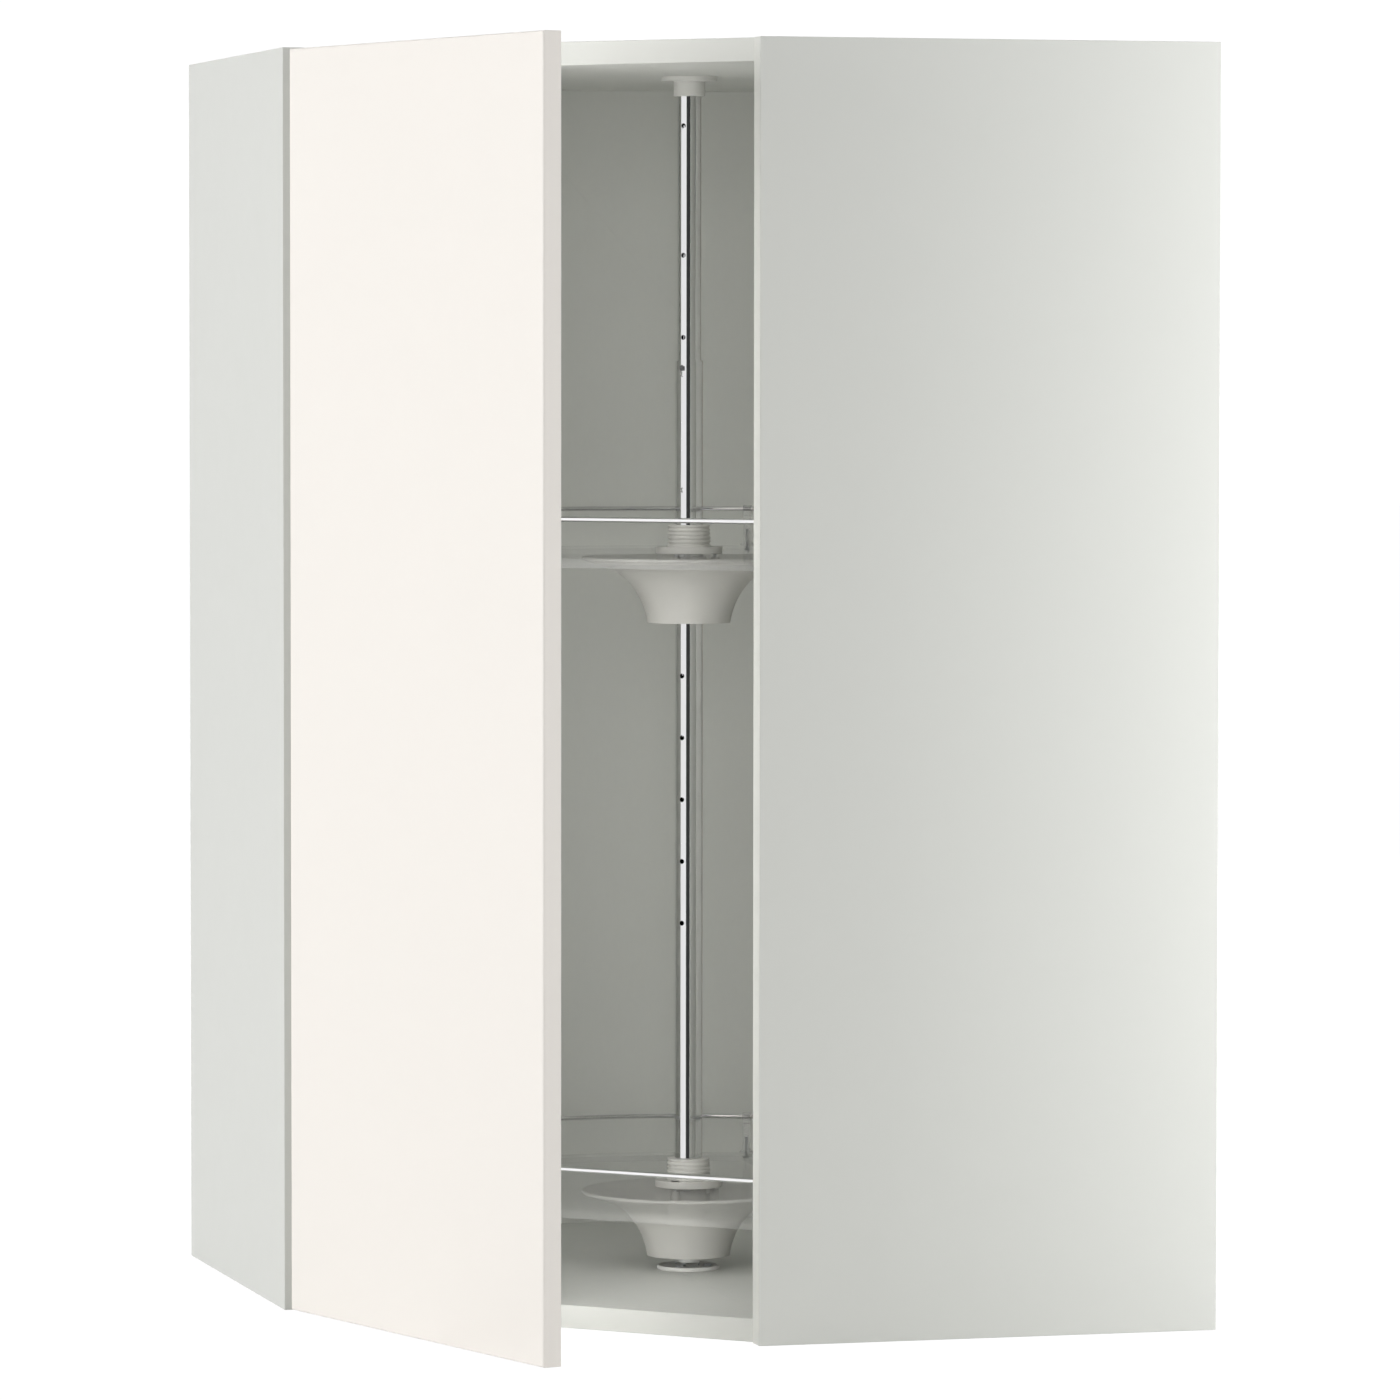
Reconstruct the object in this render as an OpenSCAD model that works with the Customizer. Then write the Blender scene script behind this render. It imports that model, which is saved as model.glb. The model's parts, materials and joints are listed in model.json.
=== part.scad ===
// Corner carousel cabinet: a wall unit with a diagonal door and two turning trays.
// Millimetres. The origin is the room corner at the underside, +Z is up.
// One wall is the plane y = 0, the other wall is the plane x = 0.

/* [Cabinet] */
// Length along each wall
cabinet_w = 675; // [655:1:700]
// Depth of each side panel
side_d = 370; // [360:1:380]
// Overall height
cabinet_h = 1000; // [940:1:1040]
// Thickness of the sides, the top and the bottom
panel_t = 18; // [16:1:19]
// Thickness of the two back panels
back_t = 3; // [3:0.5:4]
// How far the top and bottom stand back from the front corners
front_setback = 6; // [4:1:10]

/* [Door] */
// Thickness of the door
door_t = 16; // [15:1:18]
// Gap between each long edge of the door and the side panels
door_side_gap = 4.44; // [4.2:0.02:5]
// Gap between the inner front corners and the back of the closed door
door_back_gap = 3.8; // [3.8:0.1:4.4]
// Gap above and below the door
door_end_gap = 1.5; // [1:0.5:3]
// Radius on the front edges of the door
door_edge_r = 2; // [1:0.5:3]
// Angle the door stands open as drawn
door_rest = 29; // [0:1:90]

/* [Carousel] */
// Distance of the turning axis from each wall
carousel_off = 332; // [330:0.5:334]
// Least gap between the turning trays and the closed door
carousel_gap = 3; // [2.5:0.5:5]
// Top of the lower tray floor
lower_tray_z = 85; // [82:1:120]
// Height from one tray floor to the other
tray_pitch = 513; // [480:1:540]
// Thickness of the tray floor
tray_t = 2.5; // [2:0.5:4]
// Height of the rail wire above the tray floor
rail_lift = 31; // [26:1:40]
// Diameter of the rail wire
rail_d = 4; // [3:0.5:5]

/* [Pole] */
// Outside diameter of the lower tube
tube_d = 22.5; // [22:0.5:24]
// Wall of the lower tube
tube_wall = 1.5; // [1.2:0.1:1.8]
// Top of the lower tube
lower_tube_top = 753.3; // [740:0.1:780]

/* [Hidden] */
$fn = 72;
eps = 0.01;
slip = 0.05;
run = 0.06;
seat = 0.2;
root2 = sqrt(2);

// outline of the carcass
in_x = cabinet_w - panel_t;
top_z = cabinet_h - panel_t;
corner_s = (in_x - side_d) / root2;
corner_n = (in_x + side_d) / root2;
front_n = corner_n - front_setback;
front_y = front_n * root2 - in_x;
batten = 22;

// joints between the panels
joint_z = [panel_t / 2, cabinet_h - panel_t / 2];
dowel_inset = 50;
dowel_front = 60;
dowel_y = [-dowel_inset, -(side_d - dowel_front)];
dowel_r = 4;
dowel_in = 12;
dowel_out = 22;
cam_inset = 90;
cam_front = 35;
cam_y = [-cam_inset, -(side_d - cam_front)];
cam_r = 7.5;
cam_deep = 12.5;
cam_off = 34;
bolt_r = 3;
bolt_thread_r = 2.5;
bolt_thread = 11;
hole_pitch = 32;
hole_first = 52;
hole_count = floor((top_z - 20 - hole_first) / hole_pitch) + 1;
hole_back = 37;
hole_r = 2.5;
hole_deep = 12;
nail_r = 1;
nail_head_r = 3;
nail_head_t = 1;
nail_len = 20;
nail_share_x = [0.913, 0.639, 0.365, 0.122];
nail_share_z = [0.12, 0.32, 0.52, 0.72, 0.9];
nail_x = [for (k = nail_share_x) -in_x * k];
nail_z = [for (k = nail_share_z) cabinet_h * k];
nail_shift = 40;

// hanging brackets
hang_t = 2;
hang_w = 35;
hang_leg = 38;
hang_below = 57;
hang_z = top_z - hang_below;
hang_h = 76;
hang_x = 20;
hang_r = 3.25;
hang_clear_r = 5;
hang_screw_y = 26;

// door
door_w = 2 * (corner_s - door_side_gap);
door_h = cabinet_h - 2 * door_end_gap;
door_n = corner_n + door_back_gap;
door_s = door_w / 2;

// door hinge: a link between a pin on the arm and a pin on the door
hinge_end = 100;
hinge_low = hole_first + 1.5 * hole_pitch;
hinge_steps = floor((cabinet_h - hinge_end - hinge_low) / hole_pitch);
hinge_z = [hinge_low, hinge_low + hinge_steps * hole_pitch];
pin_behind = 5;
arm_pin_s = -door_s + 30.5;
pin_n = door_n - pin_behind;
link_len = 19.5;
link_ratio = -0.6;
door_pin_s = arm_pin_s - link_len;
link_rest = link_ratio * door_rest;
rest_s = arm_pin_s - link_len * cos(link_rest);
rest_n = pin_n - link_len * sin(link_rest);
pin_r = 2;
pin_head_r = 3.2;
pin_head_t = 1;
link_half = 5;
link_r = 3;
lug_in = link_half + seat;
lug_out = 8;
lug_r = 3.6;
cup_r = 17.5;
cup_deep = 12;
cup_wall = 1.2;
cup_off = 22.5;
cup_s = -door_s + cup_off;
flange_t = 1.2;
flange_half = 29;
cup_screw_z = 24;
cup_screw_s = cup_s + 6;
plate_t = 2;
plate_front = 16;
plate_back = 28;
plate_wing = 9;
block_back = 27;
plate_y = -side_d + hole_back;
plate_half = 25;
block_t = 5;
arm_t = 6;
arm_x = -in_x + plate_t + block_t + arm_t / 2;
arm_pin_x = (arm_pin_s - pin_n) / root2;
arm_pin_y = (-arm_pin_s - pin_n) / root2;
elbow_y = arm_pin_y + 27;
knee_y = elbow_y + (arm_pin_x - arm_x);
arm_end_y = plate_y + 26;
fork_clear = 9;
arm_screw_off = 16;
arm_screw_y = plate_y + arm_screw_off;
screw_r = 1.5;

// carousel
axis_n = carousel_off * root2;
tray_r = door_n - carousel_gap - axis_n;
tray_front = tray_r * 0.73;
tray_corner = 20;
tray_lip = 7.4;
tray_wall = 2.2;
rail_in = 4;
rail_r = rail_d / 2;
ring_r = tray_r - rail_in;
ring_front = tray_front - 3;
ring_corner = 18;
ferrule = 0.4;
post_r = 4;
post_foot_r = 6;
post_foot_t = 1.5;
post_angles = [-161.5, -105, -62, 62, 105, 161.5];
post_screw_head = 3.2;

// tubes and bearings
tube_r = tube_d / 2;
tube_in = tube_r - tube_wall;
tube_z = 30;
upper_r = tube_in - 0.1;
upper_in = upper_r - 1.4;
upper_tube_z = 640;
socket_z = top_z - 16;
upper_tube_top = top_z - 4;
side_hole_r = 2;
side_hole_z = 299.3;
side_hole_pitch = 50;
side_hole_count = 8;
tube_hole_below = [209.8, 143.8, 39.8];
upper_hole_z = [for (k = tube_hole_below) top_z - k];
catch_z = lower_tube_top - 6;
leaf_t = 0.6;
leaf_long = 36;
slot_low = lower_tube_top - 12.9;
slot_high = lower_tube_top - 3.2;
slot_r = 2.25;
foot_r = 25.5;
foot_t = 3.2;
foot_floor = 2;
foot_rim = 2.2;
spigot_r = 9.45;
spigot_top = tube_z - 1;
bearing_r = 6;
bearing_top = 55;
foot_screw_r = 15.5;
ceil_flange_r = 22.5;
ceil_flange_t = 4;
ceil_collar_r = 12.65;
ceil_screw_r = 17.6;

// hub
rim_below = tray_t;
cone_bottom = 29.2;
cone_h = lower_tray_z - tray_t - cone_bottom;
flare_r = 79.74;
flare_d = 63;
flare_a = 46.88;
flare_b = 56.33;
flare_w = 2.2;
flare_low = asin((flare_d - cone_h) / flare_b);
flare_high = 75;
flare_steps = 14;
rim_r = 85;
rim_bead = 1.5;
sleeve_r = 14.3;
pillar_r = 3.6;
pillar_at = 21;
hub_flange_r = 27;
hub_flange_t = 5.7;
collar_r = 17.1;
collar_groove = 0.9;
collar_h = 17.3;
collar_ribs = 6;
grub_r = 2;
grub_z = hub_flange_t + 8.65;

white = [0.93, 0.93, 0.9];
steel = [0.75, 0.76, 0.78];
clear = [0.85, 0.88, 0.88, 0.45];
plastic = [0.86, 0.86, 0.83];
wood = [0.8, 0.68, 0.5];

// ---------- helpers ----------

// the part and its twin across the diagonal
module both_sides() {
  children();
  mirror([1, -1, 0]) children();
}

// X runs to the right along the diagonal front, Y runs into the corner
module diagonal() {
  rotate([0, 0, -45]) children();
}

module carousel_frame() {
  translate([-carousel_off, -carousel_off, 0]) rotate([0, 0, -45]) children();
}

// the door drawn shut, carried to where it rests
module door_frame() {
  diagonal()
    translate([rest_s, -rest_n, 0])
      rotate([0, 0, -door_rest])
        translate([-door_pin_s, pin_n, 0]) children();
}

module rod_x(r, a, b) {
  translate([a, 0, 0]) rotate([0, 90, 0]) cylinder(r = r, h = b - a);
}

module rod_y(r, a, b) {
  translate([0, a, 0]) rotate([-90, 0, 0]) cylinder(r = r, h = b - a);
}

module rod_z(r, a, b) {
  translate([0, 0, a]) cylinder(r = r, h = b - a);
}

module box(a, b) {
  translate(a) cube([b[0] - a[0], b[1] - a[1], b[2] - a[2]]);
}

// ---------- carcass ----------

module side_holes() {
  for (i = [0 : hole_count - 1])
    translate([-in_x, plate_y, hole_first + i * hole_pitch])
      rod_x(hole_r, -hole_deep, 1);
  for (z = joint_z) {
    for (y = dowel_y)
      translate([-in_x, y, z]) rod_x(dowel_r + slip, -dowel_in, 1);
    for (y = cam_y)
      translate([-in_x, y, z]) rod_x(bolt_thread_r + slip, -bolt_thread, 1);
  }
  for (z = [hang_z - hole_pitch / 2, hang_z + hole_pitch / 2])
    translate([-in_x, -hang_screw_y, z]) rod_x(screw_r + slip, -12, 1);
}

module side_panel() {
  difference() {
    box([-cabinet_w, -side_d, 0], [-in_x, 0, cabinet_h]);
    side_holes();
  }
}

module left_side_panel() {
  color(white) side_panel();
}

module right_side_panel() {
  color(white) mirror([1, -1, 0]) side_panel();
}

// five sided floor outline shared by the top and the bottom
module floor_shape() {
  polygon([
    [-in_x, -back_t],
    [-in_x, -front_y],
    [-front_y, -in_x],
    [-back_t, -in_x],
    [-back_t, -back_t]
  ]);
}

module joint_cuts(z, up) {
  both_sides() {
    for (y = dowel_y)
      translate([-in_x, y, z]) rod_x(dowel_r + slip, -1, dowel_out);
    for (y = cam_y) {
      translate([-in_x, y, z]) rod_x(bolt_r + slip, -1, cam_off);
      translate([-in_x + cam_off, y, z])
        mirror([0, 0, up])
          rod_z(cam_r + slip, panel_t / 2 - cam_deep, panel_t);
    }
    for (x = nail_x)
      translate([x, 0, z]) rod_y(nail_r + slip, -nail_len, 0);
  }
}

module top_panel() {
  color(white)
    difference() {
      translate([0, 0, top_z]) linear_extrude(height = panel_t) floor_shape();
      joint_cuts(joint_z[1], 0);
      carousel_frame()
        for (a = [90, 270])
          rotate([0, 0, a]) translate([ceil_screw_r, 0, 0])
            rod_z(screw_r + slip, top_z - 1, top_z + 12);
    }
}

module bottom_panel() {
  color(white)
    difference() {
      linear_extrude(height = panel_t) floor_shape();
      joint_cuts(joint_z[0], 1);
      carousel_frame() {
        rod_z(4 + slip, panel_t - 10, panel_t + 1);
        for (a = [30, 150, 270])
          rotate([0, 0, a]) translate([foot_screw_r, 0, 0])
            rod_z(screw_r + slip, panel_t - 13, panel_t + 1);
      }
    }
}

// nails along one back panel, the right hand ones a little higher
module nail_places(shift) {
  for (x = nail_x)
    for (z = joint_z)
      translate([x, 0, z]) children();
  for (z = nail_z)
    translate([-back_t - batten / 2, 0, z + shift]) children();
}

module nail_cuts(shift) {
  nail_places(shift) {
    rod_y(nail_r + slip, -nail_len, 1);
    rod_y(nail_head_r + slip, -nail_head_t, 1);
  }
}

module hang_cuts() {
  for (z = [hang_z - hole_pitch / 2, hang_z + hole_pitch / 2])
    translate([-in_x + hang_x, 0, z]) rod_y(hang_clear_r, -back_t - 1, 1);
}

module back_panel() {
  color(white)
    difference() {
      box([-in_x, -back_t, 0], [0, 0, cabinet_h]);
      nail_cuts(0);
      hang_cuts();
    }
}

module right_back_panel() {
  color(white)
    mirror([1, -1, 0])
      difference() {
        box([-in_x, -back_t, 0], [-back_t, 0, cabinet_h]);
        nail_cuts(nail_shift);
        hang_cuts();
      }
}

module corner_batten() {
  color(wood)
    difference() {
      box([-back_t - batten, -back_t - batten, panel_t], [-back_t, -back_t, top_z]);
      nail_cuts(0);
      mirror([1, -1, 0]) nail_cuts(nail_shift);
    }
}

module dowels() {
  color(wood)
    both_sides()
      for (z = joint_z)
        for (y = dowel_y)
          translate([-in_x, y, z]) rod_x(dowel_r, -dowel_in, dowel_out - 1);
}

module cam_bolts() {
  color(steel)
    both_sides()
      for (z = joint_z)
        for (y = cam_y)
          translate([-in_x, y, z]) {
            rod_x(bolt_thread_r, -bolt_thread, 0);
            rod_x(bolt_r, 0, cam_off - 4);
            rod_x(1.6, cam_off - 4, cam_off - 1);
            rod_x(bolt_r, cam_off - 1, cam_off + 2);
          }
}

module cam_locks() {
  color(steel)
    both_sides()
      for (k = [0, 1])
        for (y = cam_y)
          translate([-in_x + cam_off, y, joint_z[k]])
            mirror([0, 0, 1 - k])
              difference() {
                rod_z(cam_r, panel_t / 2 - cam_deep, panel_t / 2);
                rod_x(bolt_r + slip, -cam_r - 1, 2 + slip);
                box([-4, -0.8, panel_t / 2 - 2], [4, 0.8, panel_t]);
                box([-0.8, -4, panel_t / 2 - 2], [0.8, 4, panel_t]);
              }
}

module nails(shift) {
  nail_places(shift) {
    rod_y(nail_r, -nail_len + 0.5, -nail_head_t / 2);
    rod_y(nail_head_r, -nail_head_t, 0);
  }
}

module back_nails() {
  color(steel) {
    nails(0);
    mirror([1, -1, 0]) nails(nail_shift);
  }
}

module hanging_brackets() {
  color(steel)
    both_sides()
      difference() {
        union() {
          box([-in_x, -back_t - hang_t, hang_z - hang_h / 2],
              [-in_x + hang_w, -back_t, hang_z + hang_h / 2]);
          box([-in_x, -back_t - hang_leg, hang_z - hang_h / 2],
              [-in_x + hang_t, -back_t, hang_z + hang_h / 2]);
        }
        for (z = [hang_z - hole_pitch / 2, hang_z + hole_pitch / 2]) {
          translate([-in_x + hang_x, 0, z]) rod_y(hang_r, -back_t - hang_t - 1, 1);
          translate([-in_x, -hang_screw_y, z]) rod_x(screw_r + slip, -1, hang_t + 1);
        }
      }
}

module bracket_screws() {
  color(steel)
    both_sides()
      for (z = [hang_z - hole_pitch / 2, hang_z + hole_pitch / 2])
        translate([-in_x, -hang_screw_y, z])
          difference() {
            union() {
              rod_x(screw_r, -12, hang_t);
              rod_x(3.5, hang_t, hang_t + 2);
            }
            box([hang_t + 1, -2.5, -0.5], [hang_t + 3, 2.5, 0.5]);
            box([hang_t + 1, -0.5, -2.5], [hang_t + 3, 0.5, 2.5]);
          }
}

// ---------- door hinge ----------

module hinge_plates() {
  color(steel)
    for (z = hinge_z)
      translate([-in_x, plate_y, z])
        difference() {
          union() {
            box([0, -plate_wing, -plate_half], [plate_t, plate_wing, plate_half]);
            box([0, -plate_front, -lug_out], [plate_t, plate_back, lug_out]);
            box([0, -plate_wing, -lug_out], [plate_t + block_t, block_back, lug_out]);
          }
          for (k = [-1, 1])
            translate([0, 0, k * hole_pitch / 2]) rod_x(hole_r, -1, plate_t + 1);
          translate([0, arm_screw_off, 0]) rod_x(screw_r + slip, -1, plate_t + block_t + 1);
        }
}

module plate_screws() {
  color(steel)
    for (z = hinge_z)
      for (k = [-1, 1])
        translate([-in_x, plate_y, z + k * hole_pitch / 2])
          difference() {
            union() {
              rod_x(hole_r - slip, -hole_deep + 0.5, plate_t);
              rod_x(4.2, plate_t, plate_t + 2.2);
            }
            box([plate_t + 1.2, -3, -0.5], [plate_t + 3, 3, 0.5]);
            box([plate_t + 1.2, -0.5, -3], [plate_t + 3, 0.5, 3]);
          }
}

// cranked arm: from the pin straight back, across to the side panel, along it
module hinge_arms() {
  color(steel)
    for (z = hinge_z)
      translate([0, 0, z])
        difference() {
          union() {
            translate([arm_pin_x, arm_pin_y, 0]) rod_z(4, -lug_out, lug_out);
            box([arm_pin_x - arm_t / 2, arm_pin_y, -lug_out],
                [arm_pin_x + arm_t / 2, elbow_y, lug_out]);
            translate([arm_pin_x, elbow_y, 0]) rod_z(arm_t / 2, -lug_out, lug_out);
            translate([arm_pin_x, elbow_y, 0])
              rotate([0, 0, 135])
                box([0, -arm_t / 2, -lug_out],
                    [(knee_y - elbow_y) * root2, arm_t / 2, lug_out]);
            translate([arm_x, knee_y, 0]) rod_z(arm_t / 2, -lug_out, lug_out);
            box([arm_x - arm_t / 2, knee_y, -lug_out],
                [arm_x + arm_t / 2, arm_end_y, lug_out]);
          }
          translate([arm_pin_x, arm_pin_y, 0]) {
            rod_z(pin_r + slip, -lug_out - 1, lug_out + 1);
            box([-10, -10, -lug_in], [10, fork_clear, lug_in]);
          }
          translate([arm_x, arm_screw_y, 0]) {
            rod_x(screw_r + slip, -arm_t, arm_t);
            rod_x(4, arm_t / 2 - 2, arm_t);
          }
        }
}

module arm_screws() {
  color(steel)
    for (z = hinge_z)
      translate([arm_x, arm_screw_y, z])
        difference() {
          union() {
            rod_x(screw_r, -arm_t / 2 - block_t - plate_t + 0.5, arm_t / 2 - 2);
            rod_x(3.6, arm_t / 2 - 2, arm_t / 2);
          }
          box([arm_t / 2 - 1, -2.5, -0.5], [arm_t, 2.5, 0.5]);
          box([arm_t / 2 - 1, -0.5, -2.5], [arm_t, 0.5, 2.5]);
        }
}

module hinge_pin() {
  rod_z(pin_r, -lug_out, lug_out);
  rod_z(pin_head_r, lug_out, lug_out + pin_head_t);
  rod_z(pin_head_r, -lug_out - pin_head_t, -lug_out);
}

module arm_pins() {
  color(steel)
    for (z = hinge_z)
      translate([arm_pin_x, arm_pin_y, z]) hinge_pin();
}

module hinge_links() {
  color(steel)
    diagonal()
      for (z = hinge_z)
        translate([arm_pin_s, -pin_n, z])
          rotate([0, 0, -link_rest])
            difference() {
              union() {
                box([-link_len, -link_r, -link_half], [0, link_r, link_half]);
                rod_z(link_r, -link_half, link_half);
                translate([-link_len, 0, 0]) rod_z(link_r, -link_half, link_half);
              }
              rod_z(pin_r + run, -link_half - 1, link_half + 1);
              translate([-link_len, 0, 0])
                rod_z(pin_r + run, -link_half - 1, link_half + 1);
            }
}

// ---------- door ----------

// one long rounded edge taken off a slab; the edge lies on the Z axis
module edge_round(r, len) {
  difference() {
    box([-1, -1, -1], [r, r, len + 1]);
    translate([r, r, 0]) rod_z(r, -2, len + 2);
  }
}

module door_panel() {
  color(white)
    door_frame()
      difference() {
        box([-door_s, -door_n - door_t, door_end_gap],
            [door_s, -door_n, door_end_gap + door_h]);
        translate([-door_s, -door_n - door_t, door_end_gap])
          edge_round(door_edge_r, door_h);
        translate([door_s, -door_n - door_t, door_end_gap])
          mirror([1, 0, 0]) edge_round(door_edge_r, door_h);
        translate([-door_s, -door_n - door_t, door_end_gap])
          rotate([90, 0, 90]) edge_round(door_edge_r, door_w);
        translate([-door_s, -door_n - door_t, door_end_gap + door_h])
          rotate([0, 90, 0]) edge_round(door_edge_r, door_w);
        for (z = hinge_z) {
          translate([cup_s, 0, z])
            rod_y(cup_r + slip, -door_n - cup_deep, -door_n + 1);
          for (k = [-1, 1])
            translate([cup_screw_s, 0, z + k * cup_screw_z])
              rod_y(screw_r + slip, -door_n - 12, -door_n + 1);
        }
      }
}

module hinge_cups() {
  color(steel)
    door_frame()
      for (z = hinge_z)
        translate([0, 0, z]) {
          difference() {
            union() {
              translate([cup_s, 0, 0]) rod_y(cup_r, -door_n - cup_deep, -door_n);
              translate([cup_s, 0, 0]) rod_y(cup_r + 1.5, -door_n, -door_n + flange_t);
              box([cup_screw_s - 6, -door_n, -flange_half],
                  [cup_screw_s + 6, -door_n + flange_t, flange_half]);
            }
            translate([cup_s, 0, 0])
              rod_y(cup_r - cup_wall, -door_n - cup_deep + cup_wall, -door_n + 2);
            for (k = [-1, 1])
              translate([cup_screw_s, 0, k * cup_screw_z])
                rod_y(screw_r + slip, -door_n - 1, -door_n + 2);
          }
          for (k = [0, 1])
            mirror([0, 0, k])
              difference() {
                union() {
                  translate([door_pin_s, -pin_n, 0]) rod_z(lug_r, lug_in, lug_out);
                  box([door_pin_s - lug_r, -door_n - cup_deep + cup_wall, lug_in],
                      [door_pin_s + lug_r, -pin_n, lug_out]);
                }
                translate([door_pin_s, -pin_n, 0]) rod_z(pin_r + slip, 0, lug_out + 1);
              }
        }
}

module cup_screws() {
  color(steel)
    door_frame()
      for (z = hinge_z)
        for (k = [-1, 1])
          translate([cup_screw_s, -door_n, z + k * cup_screw_z])
            difference() {
              union() {
                rod_y(screw_r, -11.5, flange_t);
                rod_y(3.5, flange_t, flange_t + 2);
              }
              box([-2.5, flange_t + 1, -0.5], [2.5, flange_t + 3, 0.5]);
              box([-0.5, flange_t + 1, -2.5], [0.5, flange_t + 3, 2.5]);
            }
}

module door_pins() {
  color(steel)
    door_frame()
      for (z = hinge_z)
        translate([door_pin_s, -pin_n, z]) hinge_pin();
}

// ---------- bearings of the pole ----------

module floor_plate() {
  color(plastic)
    carousel_frame()
      difference() {
        rod_z(foot_r, panel_t, panel_t + foot_t);
        rod_z(foot_r - foot_rim, panel_t + foot_floor, panel_t + foot_t + 1);
        rod_z(4 + slip, panel_t - 1, panel_t + foot_t);
        for (a = [30, 150, 270])
          rotate([0, 0, a]) translate([foot_screw_r, 0, 0])
            rod_z(screw_r + slip, panel_t - 1, panel_t + foot_t);
      }
}

module floor_spigot() {
  color(steel)
    carousel_frame() {
      rod_z(4, panel_t - 9.5, panel_t + foot_floor);
      rod_z(spigot_r, panel_t + foot_floor, spigot_top);
      rod_z(bearing_r, spigot_top, bearing_top - 1);
      translate([0, 0, bearing_top - 1]) cylinder(r1 = bearing_r, r2 = bearing_r - 1, h = 1);
    }
}

module floor_screws() {
  color(steel)
    carousel_frame()
      for (a = [30, 150, 270])
        rotate([0, 0, a])
          translate([foot_screw_r, 0, 0])
            difference() {
              union() {
                rod_z(screw_r, panel_t - 12.5, panel_t + foot_floor);
                rod_z(3, panel_t + foot_floor, panel_t + foot_floor + 1.6);
              }
              box([-2, -0.4, panel_t + foot_floor + 0.8], [2, 0.4, panel_t + 9]);
              box([-0.4, -2, panel_t + foot_floor + 0.8], [0.4, 2, panel_t + 9]);
            }
}

module ceiling_plate() {
  color(plastic)
    carousel_frame()
      difference() {
        union() {
          rod_z(ceil_flange_r, top_z - ceil_flange_t, top_z);
          rod_z(ceil_collar_r, socket_z, top_z - ceil_flange_t);
        }
        rod_z(upper_r + run, socket_z - 1, top_z - 2);
        for (a = [90, 270])
          rotate([0, 0, a]) translate([ceil_screw_r, 0, 0]) {
            rod_z(screw_r + slip, top_z - 6, top_z + 1);
            rod_z(3.1, top_z - 6, top_z - 2);
          }
      }
}

module ceiling_screws() {
  color(steel)
    carousel_frame()
      for (a = [90, 270])
        rotate([0, 0, a])
          translate([ceil_screw_r, 0, 0])
            difference() {
              union() {
                rod_z(screw_r, top_z - 2, top_z + 11.5);
                rod_z(3, top_z - 4, top_z - 2);
              }
              box([-2, -0.4, top_z - 9], [2, 0.4, top_z - 3.2]);
              box([-0.4, -2, top_z - 9], [0.4, 2, top_z - 3.2]);
            }
}

// ---------- pole ----------

module lower_tube() {
  color(steel)
    carousel_frame()
      difference() {
        rod_z(tube_r, tube_z, lower_tube_top);
        rod_z(tube_in, tube_z - 1, lower_tube_top + 1);
        for (i = [0 : side_hole_count - 1])
          translate([0, 0, side_hole_z + i * side_hole_pitch])
            rod_y(side_hole_r, -tube_r - 1, 0);
        for (z = [slot_low + slot_r, slot_high - slot_r])
          translate([0, 0, z]) rod_y(slot_r, -tube_r - 1, 0);
        box([-slot_r, -tube_r - 1, slot_low + slot_r], [slot_r, 0, slot_high - slot_r]);
        for (z = [0, tray_pitch])
          translate([0, 0, lower_tray_z + grub_z + z])
            rod_y(grub_r + slip, 0, tube_r + 1);
      }
}

module upper_tube() {
  color(steel)
    carousel_frame()
      difference() {
        rod_z(upper_r, upper_tube_z, upper_tube_top);
        rod_z(upper_in, upper_tube_z - 1, upper_tube_top + 1);
        for (z = upper_hole_z)
          translate([0, 0, z]) rod_y(side_hole_r, -upper_r - 1, 0);
        translate([0, 0, catch_z]) rod_y(side_hole_r + slip, -upper_r - 1, 0);
      }
}

// sprung button that locks the two tubes together
module tube_catch() {
  color(steel)
    carousel_frame() {
      translate([0, 0, catch_z]) rod_y(side_hole_r, -tube_r - 0.6, -6.2);
      box([-3, -6.2 - leaf_t, catch_z - leaf_long], [3, -6.2, catch_z + 3]);
      box([-3, -6.2 - leaf_t, catch_z - leaf_long - leaf_t], [3, 7.5, catch_z - leaf_long]);
    }
}

module foot_plug() {
  color(plastic)
    carousel_frame()
      difference() {
        union() {
          rod_z(tube_r, spigot_top + seat, tube_z);
          rod_z(tube_in - slip, tube_z, bearing_top + 6);
        }
        rod_z(bearing_r + run, spigot_top, bearing_top + 0.15);
      }
}

module top_plug() {
  color(plastic)
    carousel_frame() {
      rod_z(upper_in - slip, upper_tube_top - 14, upper_tube_top);
      rod_z(upper_r - 0.3, upper_tube_top, top_z - 2 - seat);
    }
}

// ---------- trays and hubs ----------

// round slab cut straight at the front, with rounded corners
module tray_slab(r, front, corner, a, b) {
  fx = sqrt(pow(r - corner, 2) - pow(front - corner, 2));
  fy = -(front - corner);
  reach = corner + 6;
  out = [fx, fy] * (reach / (r - corner));
  difference() {
    rod_z(r, a, b);
    box([-r - 1, -r - 1, a - 1], [r + 1, -front, b + 1]);
    for (k = [0, 1])
      mirror([k, 0, 0])
        translate([fx, fy, a - 1])
          difference() {
            linear_extrude(height = b - a + 2)
              polygon([
                [0, 0],
                [0, -reach],
                [reach, -reach],
                [out[0], out[1]]
              ]);
            rod_z(corner, -1, b - a + 4);
          }
  }
}

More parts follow.
